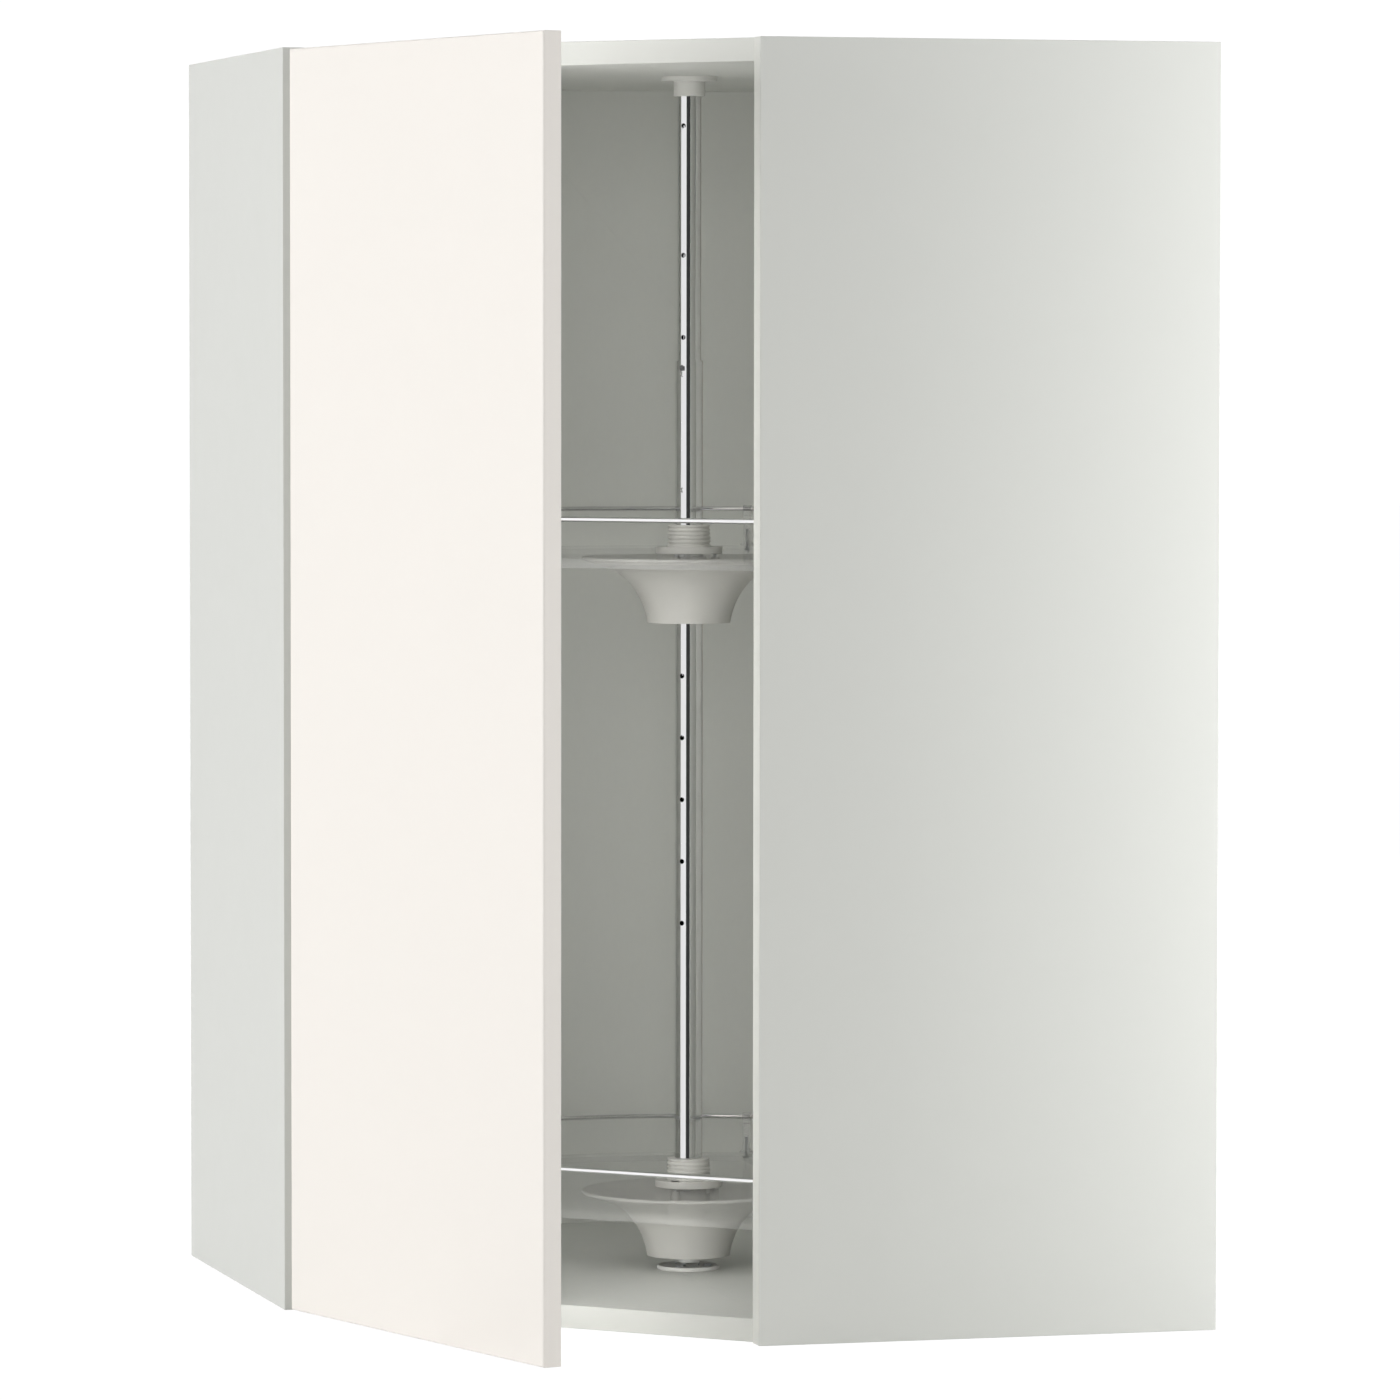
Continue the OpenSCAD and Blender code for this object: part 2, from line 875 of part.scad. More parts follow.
module tray(z0) {
  carousel_frame()
    translate([0, 0, z0])
      difference() {
        tray_slab(tray_r, tray_front, tray_corner, -tray_lip, 0);
        tray_slab(tray_r - tray_wall, tray_front - tray_wall,
                  tray_corner - tray_wall, -tray_lip - 1, -tray_t);
        rod_z(tube_r + 0.3, -tray_t - 1, 1);
        for (a = [30, 150, 270])
          rotate([0, 0, a]) translate([pillar_at, 0, 0])
            rod_z(screw_r + slip, -tray_t - 1, 1);
        for (a = post_angles)
          rotate([0, 0, a]) translate([0, -ring_r, 0]) {
            rod_z(screw_r + slip, -tray_t - 1, 1);
            rod_z(post_screw_head + slip, -tray_lip - 1, -tray_t);
          }
      }
}

module lower_tray() {
  color(clear) tray(lower_tray_z);
}

module upper_tray() {
  color(clear) tray(lower_tray_z + tray_pitch);
}

// wire along the same outline as the tray
module wire(z0, r) {
  fx = sqrt(pow(ring_r - ring_corner, 2) - pow(ring_front - ring_corner, 2));
  fy = -(ring_front - ring_corner);
  turn = atan2(fx, -fy);
  carousel_frame()
    translate([0, 0, z0]) {
      rotate([0, 0, turn - 90])
        rotate_extrude(angle = 360 - 2 * turn) translate([ring_r, 0]) circle(r = r, $fn = 36);
      for (k = [0, 1])
        mirror([k, 0, 0])
          translate([fx, fy, 0])
            rotate([0, 0, -90])
              rotate_extrude(angle = turn) translate([ring_corner, 0]) circle(r = r, $fn = 36);
      translate([0, -ring_front, 0]) rod_x(r, -fx, fx);
      // ferrules where the wire lengths meet
      for (k = [0, 1])
        mirror([k, 0, 0]) {
          translate([fx, -ring_front, 0]) rod_x(r + ferrule, -2, 1.5);
          rotate([0, 0, turn]) translate([0, -ring_r, 0]) rod_x(r + ferrule, -1.5, 2);
        }
    }
}

module lower_tray_rail() {
  color(steel) wire(lower_tray_z + rail_lift, rail_r);
}

module upper_tray_rail() {
  color(steel) wire(lower_tray_z + tray_pitch + rail_lift, rail_r);
}

module rail_posts(z0) {
  carousel_frame()
    translate([0, 0, z0])
      difference() {
        for (a = post_angles)
          rotate([0, 0, a])
            translate([0, -ring_r, 0]) {
              rod_z(post_foot_r - 2, 0, rail_lift + rail_r + 1.5);
              box([-post_foot_r, -3.5, 0], [post_foot_r, 3.5, post_foot_t]);
            }
        translate([0, 0, rail_lift])
          rotate_extrude() translate([ring_r, 0]) circle(r = rail_r + slip);
        for (a = post_angles)
          rotate([0, 0, a]) translate([0, -ring_r, 0])
            rod_z(screw_r + slip, -1, 15);
      }
}

module lower_rail_posts() {
  color(clear) rail_posts(lower_tray_z);
}

module upper_rail_posts() {
  color(clear) rail_posts(lower_tray_z + tray_pitch);
}

module post_screws() {
  color(steel)
    carousel_frame()
      for (z = [lower_tray_z, lower_tray_z + tray_pitch])
        for (a = post_angles)
          rotate([0, 0, a])
            translate([0, -ring_r, z]) {
              rod_z(screw_r, -tray_t, 14);
              rod_z(post_screw_head, -tray_t - 1.6, -tray_t);
            }
}

// outside of the trumpet, measured down from the tray
function flare_out(t) = [
  flare_r - flare_a * cos(t),
  -flare_d + flare_b * sin(t)
];
function flare_in(t) = [
  flare_r - (flare_a + flare_w) * cos(t),
  -flare_d + (flare_b + flare_w) * sin(t)
];
function flare_t(i) = flare_low + (flare_high - flare_low) * i / flare_steps;

module hub_cone(z0) {
  inner = [for (i = [0 : flare_steps]) flare_in(flare_t(flare_steps - i))];
  carousel_frame()
    translate([0, 0, z0 - tray_t])
      difference() {
        union() {
          rotate_extrude()
            polygon(concat(
              [for (i = [0 : flare_steps]) flare_out(flare_t(i))],
              [[rim_r, -rim_bead], [rim_r, 0], [rim_r - 3, 0]],
              [for (p = inner) if (p[1] > -cone_h + 2.5) p],
              [[flare_in(flare_low)[0], -cone_h + 2.5],
               [sleeve_r, -cone_h + 2.5], [sleeve_r, 0],
               [tube_r + slip, 0], [tube_r + slip, -cone_h]]
            ));
          rotate_extrude() translate([rim_r, -rim_bead]) circle(r = rim_bead);
          for (a = [30, 150, 270])
            rotate([0, 0, a]) {
              translate([pillar_at, 0, 0]) rod_z(pillar_r, -cone_h + 1, 0);
              box([sleeve_r - 1, -0.9, -cone_h + 1], [pillar_at - 1, 0.9, -4]);
            }
          for (a = [90, 210, 330])
            rotate([0, 0, a])
              box([sleeve_r - 1, -0.9, -cone_h + 1], [32, 0.9, -cone_h + 20]);
        }
        for (a = [30, 150, 270])
          rotate([0, 0, a]) translate([pillar_at, 0, 0])
            rod_z(screw_r + slip, -18, 1);
      }
}

module lower_hub_cone() {
  color(plastic) hub_cone(lower_tray_z);
}

module upper_hub_cone() {
  color(plastic) hub_cone(lower_tray_z + tray_pitch);
}

module hub_collar(z0) {
  step = collar_h / (collar_ribs * 2 - 1);
  carousel_frame()
    translate([0, 0, z0])
      difference() {
        union() {
          rod_z(hub_flange_r, 0, hub_flange_t);
          rod_z(collar_r - collar_groove, hub_flange_t, hub_flange_t + collar_h);
          for (i = [0 : collar_ribs - 1])
            rod_z(collar_r + 0.1 * (collar_ribs - 1 - i),
                  hub_flange_t + 2 * i * step, hub_flange_t + (2 * i + 1) * step);
        }
        rod_z(tube_r + slip, -1, hub_flange_t + collar_h + 1);
        translate([0, 0, grub_z]) rod_y(grub_r + slip, 0, collar_r + 2);
        for (a = [30, 150, 270])
          rotate([0, 0, a]) translate([pillar_at, 0, 0]) {
            rod_z(screw_r + slip, -1, hub_flange_t + 1);
            rod_z(3.05, hub_flange_t - 2, hub_flange_t + 1);
          }
      }
}

module lower_hub_collar() {
  color(plastic) hub_collar(lower_tray_z);
}

module upper_hub_collar() {
  color(plastic) hub_collar(lower_tray_z + tray_pitch);
}

module hub_screws() {
  color(steel)
    carousel_frame()
      for (z = [lower_tray_z, lower_tray_z + tray_pitch])
        for (a = [30, 150, 270])
          rotate([0, 0, a])
            translate([pillar_at, 0, z])
              difference() {
                union() {
                  rod_z(screw_r, -17, hub_flange_t - 2);
                  rod_z(3, hub_flange_t - 2, hub_flange_t - 0.2);
                }
                box([-2, -0.4, hub_flange_t - 1.2], [2, 0.4, hub_flange_t + 9]);
                box([-0.4, -2, hub_flange_t - 1.2], [0.4, 2, hub_flange_t + 9]);
              }
}

module grub_screws() {
  color(steel)
    carousel_frame()
      for (z = [lower_tray_z, lower_tray_z + tray_pitch])
        translate([0, 0, z + grub_z])
          difference() {
            rod_y(grub_r, tube_in + 0.1, collar_r - 1);
            rod_y(1, collar_r - 3, collar_r);
          }
}

// ---------- which piece to draw ----------

left_side_panel();
right_side_panel();
top_panel();
bottom_panel();
back_panel();
right_back_panel();
corner_batten();
dowels();
cam_bolts();
cam_locks();
back_nails();
hanging_brackets();
bracket_screws();
hinge_plates();
plate_screws();
hinge_arms();
arm_screws();
arm_pins();
floor_plate();
floor_spigot();
floor_screws();
ceiling_plate();
ceiling_screws();
hinge_links();
door_panel();
hinge_cups();
cup_screws();
door_pins();
lower_tube();
upper_tube();
tube_catch();
foot_plug();
top_plug();
lower_tray();
upper_tray();
lower_hub_cone();
upper_hub_cone();
lower_hub_collar();
upper_hub_collar();
hub_screws();
grub_screws();
lower_tray_rail();
upper_tray_rail();
lower_rail_posts();
upper_rail_posts();
post_screws();
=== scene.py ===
"""Corner carousel cabinet: the look of every piece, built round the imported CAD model.

Metres, +Z up, origin in the room corner under the cabinet. Panels, trays and fittings take
their shape from the CAD nodes and get eased edges; the turned hubs, feet, wires and posts
are made here from the same sizes.
"""

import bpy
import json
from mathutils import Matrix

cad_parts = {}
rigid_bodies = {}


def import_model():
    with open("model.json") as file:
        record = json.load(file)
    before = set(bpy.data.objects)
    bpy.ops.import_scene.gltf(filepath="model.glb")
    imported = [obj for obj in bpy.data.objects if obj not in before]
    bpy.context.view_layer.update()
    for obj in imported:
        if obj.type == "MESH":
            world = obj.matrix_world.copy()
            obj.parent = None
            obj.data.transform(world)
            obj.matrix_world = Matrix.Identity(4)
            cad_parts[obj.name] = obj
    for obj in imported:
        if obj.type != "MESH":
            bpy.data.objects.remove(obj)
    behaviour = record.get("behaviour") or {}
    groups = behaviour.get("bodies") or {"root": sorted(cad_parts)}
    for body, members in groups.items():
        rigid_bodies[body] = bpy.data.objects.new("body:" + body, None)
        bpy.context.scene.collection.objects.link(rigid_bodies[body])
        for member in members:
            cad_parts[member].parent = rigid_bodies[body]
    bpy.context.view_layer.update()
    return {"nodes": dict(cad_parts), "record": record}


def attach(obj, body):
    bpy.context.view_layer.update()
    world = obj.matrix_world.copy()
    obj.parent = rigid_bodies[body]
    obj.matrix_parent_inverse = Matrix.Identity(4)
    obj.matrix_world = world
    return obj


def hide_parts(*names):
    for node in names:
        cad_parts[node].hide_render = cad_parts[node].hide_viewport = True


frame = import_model()

import json
import math

import bmesh
import bpy
from mathutils import Matrix, Vector

MM = 0.001
TINY = 1e-6
NODES = frame["nodes"]

# Sizes shared with the CAD source, in millimetres, and the rail posts' places in degrees.
AXIS_OFF = 332.0
INNER_FACE = 657.0
SIDE_D = 370.0
DOOR_BACK_GAP = 3.8
TRAY_GAP = 3.0
DOOR_BACK_N = (INNER_FACE + SIDE_D) / math.sqrt(2) + DOOR_BACK_GAP
TRAY_R = DOOR_BACK_N - TRAY_GAP - AXIS_OFF * math.sqrt(2)
TRAY_FRONT = TRAY_R * 0.73
RING_R = TRAY_R - 4.0
RING_FRONT = TRAY_FRONT - 3.0
RING_CORNER = 18.0
WIRE_R = 2.0
RAIL_LIFT = 31.0
LOWER_TRAY = 85.0
TRAY_PITCH = 513.0
TRAY_T = 2.5
TUBE_R = 11.25
UPPER_TUBE_R = 9.65
HUB_BOTTOM = 29.2
FLANGE_T = 5.7
POST_ANGLES = (-161.5, -105.0, -62.0, 62.0, 105.0, 161.5)
TRAY_LEVELS = {"lower": LOWER_TRAY, "upper": LOWER_TRAY + TRAY_PITCH}

# The carousel's own frame: X runs to the right along the diagonal front, Y into the corner.
AXIS = Vector((-AXIS_OFF * MM, -AXIS_OFF * MM, 0.0))
CAROUSEL = Matrix.Translation(AXIS) @ Matrix.Rotation(math.radians(-45), 4, "Z")


# ---------------------------------------------------------------- shader maths


class Signal:
    """One number inside a material. Python's operators add the Math nodes."""

    def __init__(self, finish, socket):
        self.finish = finish
        self.socket = socket

    def _math(self, operation, left, right=0.0):
        node = self.finish.add("ShaderNodeMath", {"operation": operation}, {0: left, 1: right})
        return Signal(self.finish, node.outputs[0])

    def __add__(self, other):
        return self._math("ADD", self, other)

    __radd__ = __add__

    def __sub__(self, other):
        return self._math("SUBTRACT", self, other)

    def __rsub__(self, other):
        return self._math("SUBTRACT", other, self)

    def __mul__(self, other):
        return self._math("MULTIPLY", self, other)

    __rmul__ = __mul__

    def above(self, other):
        return self._math("GREATER_THAN", self, other)

    def largest(self, other):
        return self._math("MAXIMUM", self, other)


class Finish:
    """A material on one Principled shader, fed by procedural nodes."""

    def __init__(self, name, **constants):
        self.material = bpy.data.materials.new(name)
        self.material.use_nodes = True
        self.tree = self.material.node_tree
        self.shader = self.tree.nodes["Principled BSDF"]
        self.output = self.tree.nodes["Material Output"]
        for socket, value in constants.items():
            self.shader.inputs[socket.replace("_", " ")].default_value = value

    def add(self, kind, settings=None, inputs=None):
        """A node of any type: its settings first, then its sockets' values or links."""
        node = self.tree.nodes.new(kind)
        for name, value in (settings or {}).items():
            if name == "stops":
                self._stops(node.color_ramp, value)
            else:
                setattr(node, name, value)
        for key, value in (inputs or {}).items():
            self.feed(node.inputs[key], value)
        return node

    def _stops(self, ramp, stops):
        while len(ramp.elements) < len(stops):
            ramp.elements.new(0.5)
        for element, (place, colour) in zip(ramp.elements, stops):
            element.position = place
            element.color = (*colour, 1.0)

    def feed(self, socket, value):
        if isinstance(value, Signal):
            value = value.socket
        if isinstance(value, bpy.types.NodeSocket):
            self.tree.links.new(value, socket)
        elif isinstance(value, tuple) and len(value) == 3 and socket.type == "RGBA":
            socket.default_value = (*value, 1.0)
        else:
            socket.default_value = value

    def place(self, stretch=(1.0, 1.0, 1.0)):
        """Object coordinates, stretched for grain or brushing."""
        coords = self.add("ShaderNodeTexCoord")
        mapping = self.add(
            "ShaderNodeMapping",
            inputs={"Vector": coords.outputs["Object"], "Scale": stretch},
        )
        return mapping.outputs["Vector"]

    def noise(self, scale, detail, stretch=(1.0, 1.0, 1.0), rough=0.5):
        node = self.add(
            "ShaderNodeTexNoise",
            inputs={
                "Vector": self.place(stretch),
                "Scale": scale,
                "Detail": detail,
                "Roughness": rough,
            },
        )
        return Signal(self, node.outputs[0])

    def blend(self, amount, low, high):
        """A colour between two others."""
        node = self.add(
            "ShaderNodeMix",
            {"data_type": "RGBA"},
            {"Factor": amount, 6: low, 7: high},
        )
        return node.outputs[2]

    def relief(self, height, strength, distance):
        bump = self.add(
            "ShaderNodeBump",
            inputs={"Height": height, "Strength": strength, "Distance": distance},
        )
        self.feed(self.shader.inputs["Normal"], bump.outputs["Normal"])

    def wear(self, socket, value):
        self.feed(self.shader.inputs[socket], value)


def foil(name, light, shade, rough, peel):
    """Foil pressed on board: slow colour drift, soft sheen and a fine orange-peel relief."""
    finish = Finish(name, Roughness=rough, Specular_IOR_Level=0.4)
    drift = finish.noise(3.0, 3.0)
    grime = finish.noise(38.0, 4.0)
    finish.wear("Base Color", finish.blend(drift * 0.7 + grime * 0.3, shade, light))
    finish.wear("Roughness", finish.noise(60.0, 3.0) * 0.12 + (rough - 0.06))
    finish.relief(finish.noise(900.0, 2.0), peel, 0.0002)
    return finish.material


def fibre_board(name, light, shade):
    """Painted hardboard: matt, with the faint felted mottling of pressed fibre."""
    finish = Finish(name, Roughness=0.62, Specular_IOR_Level=0.3)
    felt = finish.noise(220.0, 5.0, (1.0, 1.0, 0.5), 0.65)
    finish.wear("Base Color", finish.blend(felt, shade, light))
    finish.wear("Roughness", felt * 0.2 + 0.52)
    finish.relief(felt, 0.12, 0.0003)
    return finish.material


def timber(name, light, dark, stretch):
    """Sawn softwood or turned beech: growth rings drawn out along the grain."""
    finish = Finish(name, Roughness=0.6)
    warp = finish.noise(6.0, 3.0, stretch)
    rings = finish.add(
        "ShaderNodeTexWave",
        {"wave_type": "RINGS"},
        {
            "Vector": finish.place(stretch),
            "Scale": 60.0,
            "Distortion": 6.0,
            "Detail": 3.0,
        },
    )
    grain = Signal(finish, rings.outputs[1]) * 0.7 + warp * 0.3
    finish.wear("Base Color", finish.blend(grain, dark, light))
    finish.wear("Roughness", grain * 0.15 + 0.5)
    finish.relief(grain, 0.2, 0.0004)
    return finish.material


def bright_metal(name, colour, rough, brush, marks, relief=0.02):
    """Plated metal: polish haze, faint brushing along Z and small handling marks."""
    finish = Finish(name, Metallic=1.0, Roughness=rough)
    haze = finish.noise(45.0, 4.0)
    lines = finish.noise(700.0, 2.0, brush)
    dull = tuple(channel * 0.93 for channel in colour)
    finish.wear("Base Color", finish.blend(haze, dull, colour))
    finish.wear("Roughness", haze * marks + lines * marks * 0.5 + max(rough - marks * 0.6, 0.02))
    finish.relief(lines, relief, 0.00005)
    return finish.material


def moulded(name, light, shade, rough):
    """Injection moulded plastic: even colour, soft gloss and a fine spark-eroded grain."""
    finish = Finish(name, Roughness=rough, Specular_IOR_Level=0.5)
    cloud = finish.noise(24.0, 3.0)
    finish.wear("Base Color", finish.blend(cloud, shade, light))
    finish.wear("Roughness", cloud * 0.14 + (rough - 0.07))
    finish.relief(finish.noise(520.0, 3.0), 0.05, 0.0002)
    return finish.material


def clear_plastic(name, tint, cover, veil, rough):
    """Clear moulded plastic: see-through, with flow haze and a glossy skin."""
    finish = Finish(name, Roughness=rough, IOR=1.49, Specular_IOR_Level=0.6)
    flow = finish.noise(14.0, 3.0, (1.0, 1.0, 3.0))
    pale = tuple(min(channel * 1.08, 1.0) for channel in tint)
    finish.wear("Base Color", finish.blend(flow, tint, pale))
    finish.wear("Roughness", flow * 0.08 + max(rough - 0.04, 0.01))
    edge = finish.add("ShaderNodeLayerWeight", inputs={"Blend": 0.35})
    rim = Signal(finish, edge.outputs["Facing"])
    finish.wear("Alpha", rim * veil + flow * 0.05 + cover)
    finish.relief(finish.noise(160.0, 2.0), 0.03, 0.0002)
    return finish.material


panel_foil = foil("panel_foil", (0.735, 0.745, 0.71), (0.715, 0.725, 0.69), 0.42, 0.05)
door_foil = foil("door_foil", (0.955, 0.915, 0.865), (0.94, 0.90, 0.85), 0.42, 0.04)
back_paint = fibre_board("back_paint", (0.72, 0.73, 0.695), (0.69, 0.70, 0.665))
softwood = timber("softwood", (0.66, 0.49, 0.3), (0.5, 0.34, 0.19), (1.0, 1.0, 0.06))
beech = timber("beech", (0.7, 0.5, 0.33), (0.55, 0.37, 0.22), (0.3, 0.3, 1.0))
chrome = bright_metal("chrome", (0.9, 0.9, 0.91), 0.05, (1.0, 1.0, 0.01), 0.03, 0.003)
wire_chrome = bright_metal("wire_chrome", (0.86, 0.86, 0.87), 0.08, (1.0, 1.0, 1.0), 0.04, 0.005)
nickel = bright_metal("nickel", (0.76, 0.75, 0.72), 0.24, (1.0, 1.0, 0.03), 0.1)
# The catch's metal, coloured far darker than the nickel fittings round it.
dark_catch_metal = bright_metal("dark_catch_metal", (0.16, 0.16, 0.165), 0.3, (1.0, 1.0, 0.1), 0.08)
zinc = bright_metal("zinc", (0.68, 0.7, 0.72), 0.34, (1.0, 1.0, 1.0), 0.14)
hub_plastic = moulded("hub_plastic", (0.55, 0.545, 0.515), (0.52, 0.515, 0.485), 0.36)
collar_plastic = moulded("collar_plastic", (0.64, 0.635, 0.6), (0.6, 0.595, 0.56), 0.38)
bearing_plastic = moulded("bearing_plastic", (0.68, 0.68, 0.65), (0.64, 0.64, 0.61), 0.4)
tray_plastic = clear_plastic("tray_plastic", (0.66, 0.665, 0.645), 0.05, 0.17, 0.06)
post_plastic = clear_plastic("post_plastic", (0.8, 0.8, 0.78), 0.16, 0.2, 0.25)


# ---------------------------------------------------------------- mesh helpers


def new_piece(name, mesh, finish):
    piece = bpy.data.objects.new(name, mesh)
    bpy.context.scene.collection.objects.link(piece)
    mesh.materials.clear()
    mesh.materials.append(finish)
    return piece


def settled(piece):
    """Applies the piece's modifiers, which leaves a plain mesh at the origin."""
    dependency = bpy.context.evaluated_depsgraph_get()
    mesh = bpy.data.meshes.new_from_object(piece.evaluated_get(dependency), depsgraph=dependency)
    piece.modifiers.clear()
    piece.data = mesh


def smooth(piece, angle):
    piece.data.shade_smooth()
    piece.data.set_sharp_from_angle(angle=math.radians(angle))
    return piece


def hand_over(piece, body, slot, *nodes):
    """The piece rides on its body and stands for its CAD nodes."""
    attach(piece, body)
    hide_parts(*nodes)


SLOTS = {sub["node"]: sub["material_slot"] for sub in frame["record"]["subparts"]}
BODIES = {
    node: body
    for body, members in frame["record"]["behaviour"]["bodies"].items()
    for node in members
}


def merged_copy(node):
    """The CAD node's mesh with its loose triangles joined into flat faces."""
    mesh = NODES[node].data.copy()
    work = bmesh.new()
    work.from_mesh(mesh)
    bmesh.ops.remove_doubles(work, verts=work.verts, dist=TINY)
    bmesh.ops.dissolve_limit(
        work, angle_limit=math.radians(0.5), verts=work.verts, edges=work.edges
    )
    work.to_mesh(mesh)
    work.free()
    mesh.shade_smooth()
    return mesh


def eased(node, width, finish, segments=2):
    """A CAD node with its sharp edges rounded over, as a real piece leaves the tool."""
    piece = new_piece(node + "_eased", merged_copy(node), finish)
    edge = piece.modifiers.new("edges", "BEVEL")
    edge.width = width * MM
    edge.segments = segments
    edge.limit_method = "ANGLE"
    edge.angle_limit = math.radians(40)
    edge.use_clamp_overlap = False
    faces = piece.modifiers.new("faces", "WEIGHTED_NORMAL")
    faces.mode = "FACE_AREA"
    faces.weight = 100
    faces.thresh = 0.001
    settled(piece)
    hand_over(piece, BODIES[node], SLOTS[node], node)


def turned_mesh(name, profile, finish, steps=96, closed=True):
    """A profile of (radius, height) in millimetres, anticlockwise, turned round the axis."""
    work = bmesh.new()
    turns = [2 * math.pi * k / steps for k in range(steps)]
    rings = []
    for radius, height in profile:
        reach, z = radius * MM, height * MM
        if radius < TINY:
            rings.append([work.verts.new((0, 0, z))])
            continue
        rings.append(
            [work.verts.new((reach * math.cos(a), reach * math.sin(a), z)) for a in turns]
        )
    pairs = list(zip(rings, rings[1:]))
    if closed:
        pairs.append((rings[-1], rings[0]))
    for low, high in pairs:
        for k in range(steps):
            after = (k + 1) % steps
            corners = [low[k % len(low)], low[after % len(low)]]
            corners += [high[after % len(high)], high[k % len(high)]]
            unique = list(dict.fromkeys(corners))
            if len(unique) > 2:
                work.faces.new(unique)
    bmesh.ops.recalc_face_normals(work, faces=work.faces)
    work.transform(CAROUSEL)
    mesh = bpy.data.meshes.new(name)
    work.to_mesh(mesh)
    work.free()
    return new_piece(name, mesh, finish)


def rounded(profile, radius):
    """The closed profile with every corner turned into a small arc."""
    result = []
    steps = 4
    count = len(profile)
    for i in range(count):
        here = Vector(profile[i])
        before = Vector(profile[i - 1]) - here
        after = Vector(profile[(i + 1) % count]) - here
        if min(here.x, before.length, after.length) < TINY:
            result.append(tuple(here))
            continue
        reach = min(radius, before.length * 0.45, after.length * 0.45)
        start = here + before.normalized() * reach
        end = here + after.normalized() * reach
        for k in range(steps + 1):
            t = k / steps
            point = start * (1 - t) ** 2 + here * 2 * t * (1 - t) + end * t**2
            result.append(tuple(point))
    return result


# ---------------------------------------------------------------- node trees


class Recipe:
    """A Geometry Nodes tree built step by step, with named inputs for its sizes."""

    def __init__(self, name, **sizes):
        self.tree = bpy.data.node_groups.new(name, "GeometryNodeTree")
        self.ids = {}
        face = self.tree.interface
        face.new_socket("Geometry", in_out="INPUT", socket_type="NodeSocketGeometry")
        for size, default in sizes.items():
            kind = "NodeSocketInt" if isinstance(default, int) else "NodeSocketFloat"
            item = face.new_socket(size, in_out="INPUT", socket_type=kind)
            item.default_value = default
            self.ids[size] = item.identifier
        item = face.new_socket("Finish", in_out="INPUT", socket_type="NodeSocketMaterial")
        self.ids["Finish"] = item.identifier
        face.new_socket("Geometry", in_out="OUTPUT", socket_type="NodeSocketGeometry")
        self.inlet = self.tree.nodes.new("NodeGroupInput")
        self.outlet = self.tree.nodes.new("NodeGroupOutput")

    def size(self, name):
        return self.inlet.outputs[name]

    def add(self, kind, settings=None, inputs=None):
        node = self.tree.nodes.new(kind)
        for name, value in (settings or {}).items():
            setattr(node, name, value)
        for key, value in (inputs or {}).items():
            self.feed(node.inputs[key], value)
        return node

    def feed(self, socket, value):
        if isinstance(value, bpy.types.NodeSocket):
            self.tree.links.new(value, socket)
        else:
            socket.default_value = value

    def join(self, *parts):
        node = self.add("GeometryNodeJoinGeometry")
        for part in parts:
            self.tree.links.new(part, node.inputs[0])
        return node.outputs[0]

    def maths(self, operation, left, right=0.0):
        node = self.add("ShaderNodeMath", {"operation": operation}, {0: left, 1: right})
        return node.outputs[0]

    def finish(self, geometry):
        """The tree's common end: smooth, realised and given its material."""
        soft = self.add("GeometryNodeSetShadeSmooth", inputs={"Geometry": geometry})
        real = self.add("GeometryNodeRealizeInstances", inputs={0: soft.outputs[0]})
        painted = self.add(
            "GeometryNodeSetMaterial",
            inputs={"Geometry": real.outputs[0], "Material": self.size("Finish")},
        )
        self.tree.links.new(painted.outputs[0], self.outlet.inputs[0])

    def make(self, name, mesh, finish, **sizes):
        """Runs the tree on a mesh of points or edges and keeps the result as a plain mesh."""
        piece = new_piece(name, mesh, finish)
        run = piece.modifiers.new("recipe", "NODES")
        run.node_group = self.tree
        for size, value in sizes.items():
            run[self.ids[size]] = value
        run[self.ids["Finish"]] = finish
        settled(piece)
        piece.data.transform(CAROUSEL)
        piece.data.materials.clear()
        piece.data.materials.append(finish)
        return piece


def wire_recipe():
    """A round wire swept along a path of edges."""
    recipe = Recipe("bent_wire", Radius=2.0 * MM, Sides=16)
    path = recipe.add("GeometryNodeMeshToCurve", inputs={0: recipe.inlet.outputs[0]})
    section = recipe.add(
        "GeometryNodeCurvePrimitiveCircle",
        inputs={"Resolution": recipe.size("Sides"), "Radius": recipe.size("Radius")},
    )
    sweep = recipe.add(
        "GeometryNodeCurveToMesh",
        inputs={0: path.outputs[0], 1: section.outputs[0]},
    )
    recipe.finish(sweep.outputs[0])
    return recipe


def ring_recipe():
    """Rounded rings stacked on a line of points, each a little smaller than the last."""
    recipe = Recipe("collar_rings", Radius=16.9 * MM, Taper=0.1 * MM, Bead=0.6 * MM, Sides=96)
    index = recipe.add("GeometryNodeInputIndex").outputs[0]
    less = recipe.maths("MULTIPLY", index, recipe.size("Taper"))
    radius = recipe.maths("SUBTRACT", recipe.size("Radius"), less)
    loop = recipe.add(
        "GeometryNodeCurvePrimitiveCircle",
        inputs={"Resolution": recipe.size("Sides"), "Radius": 1.0},
    )
    spots = recipe.add(
        "GeometryNodeInstanceOnPoints",
        inputs={
            "Points": recipe.inlet.outputs[0],
            "Instance": loop.outputs[0],
            "Scale": radius,
        },
    )
    loops = recipe.add("GeometryNodeRealizeInstances", inputs={0: spots.outputs[0]})
    bead = recipe.add(
        "GeometryNodeCurvePrimitiveCircle",
        inputs={"Resolution": 12, "Radius": recipe.size("Bead")},
    )
    sweep = recipe.add(
        "GeometryNodeCurveToMesh", inputs={0: loops.outputs[0], 1: bead.outputs[0]}
    )
    recipe.finish(sweep.outputs[0])
    return recipe


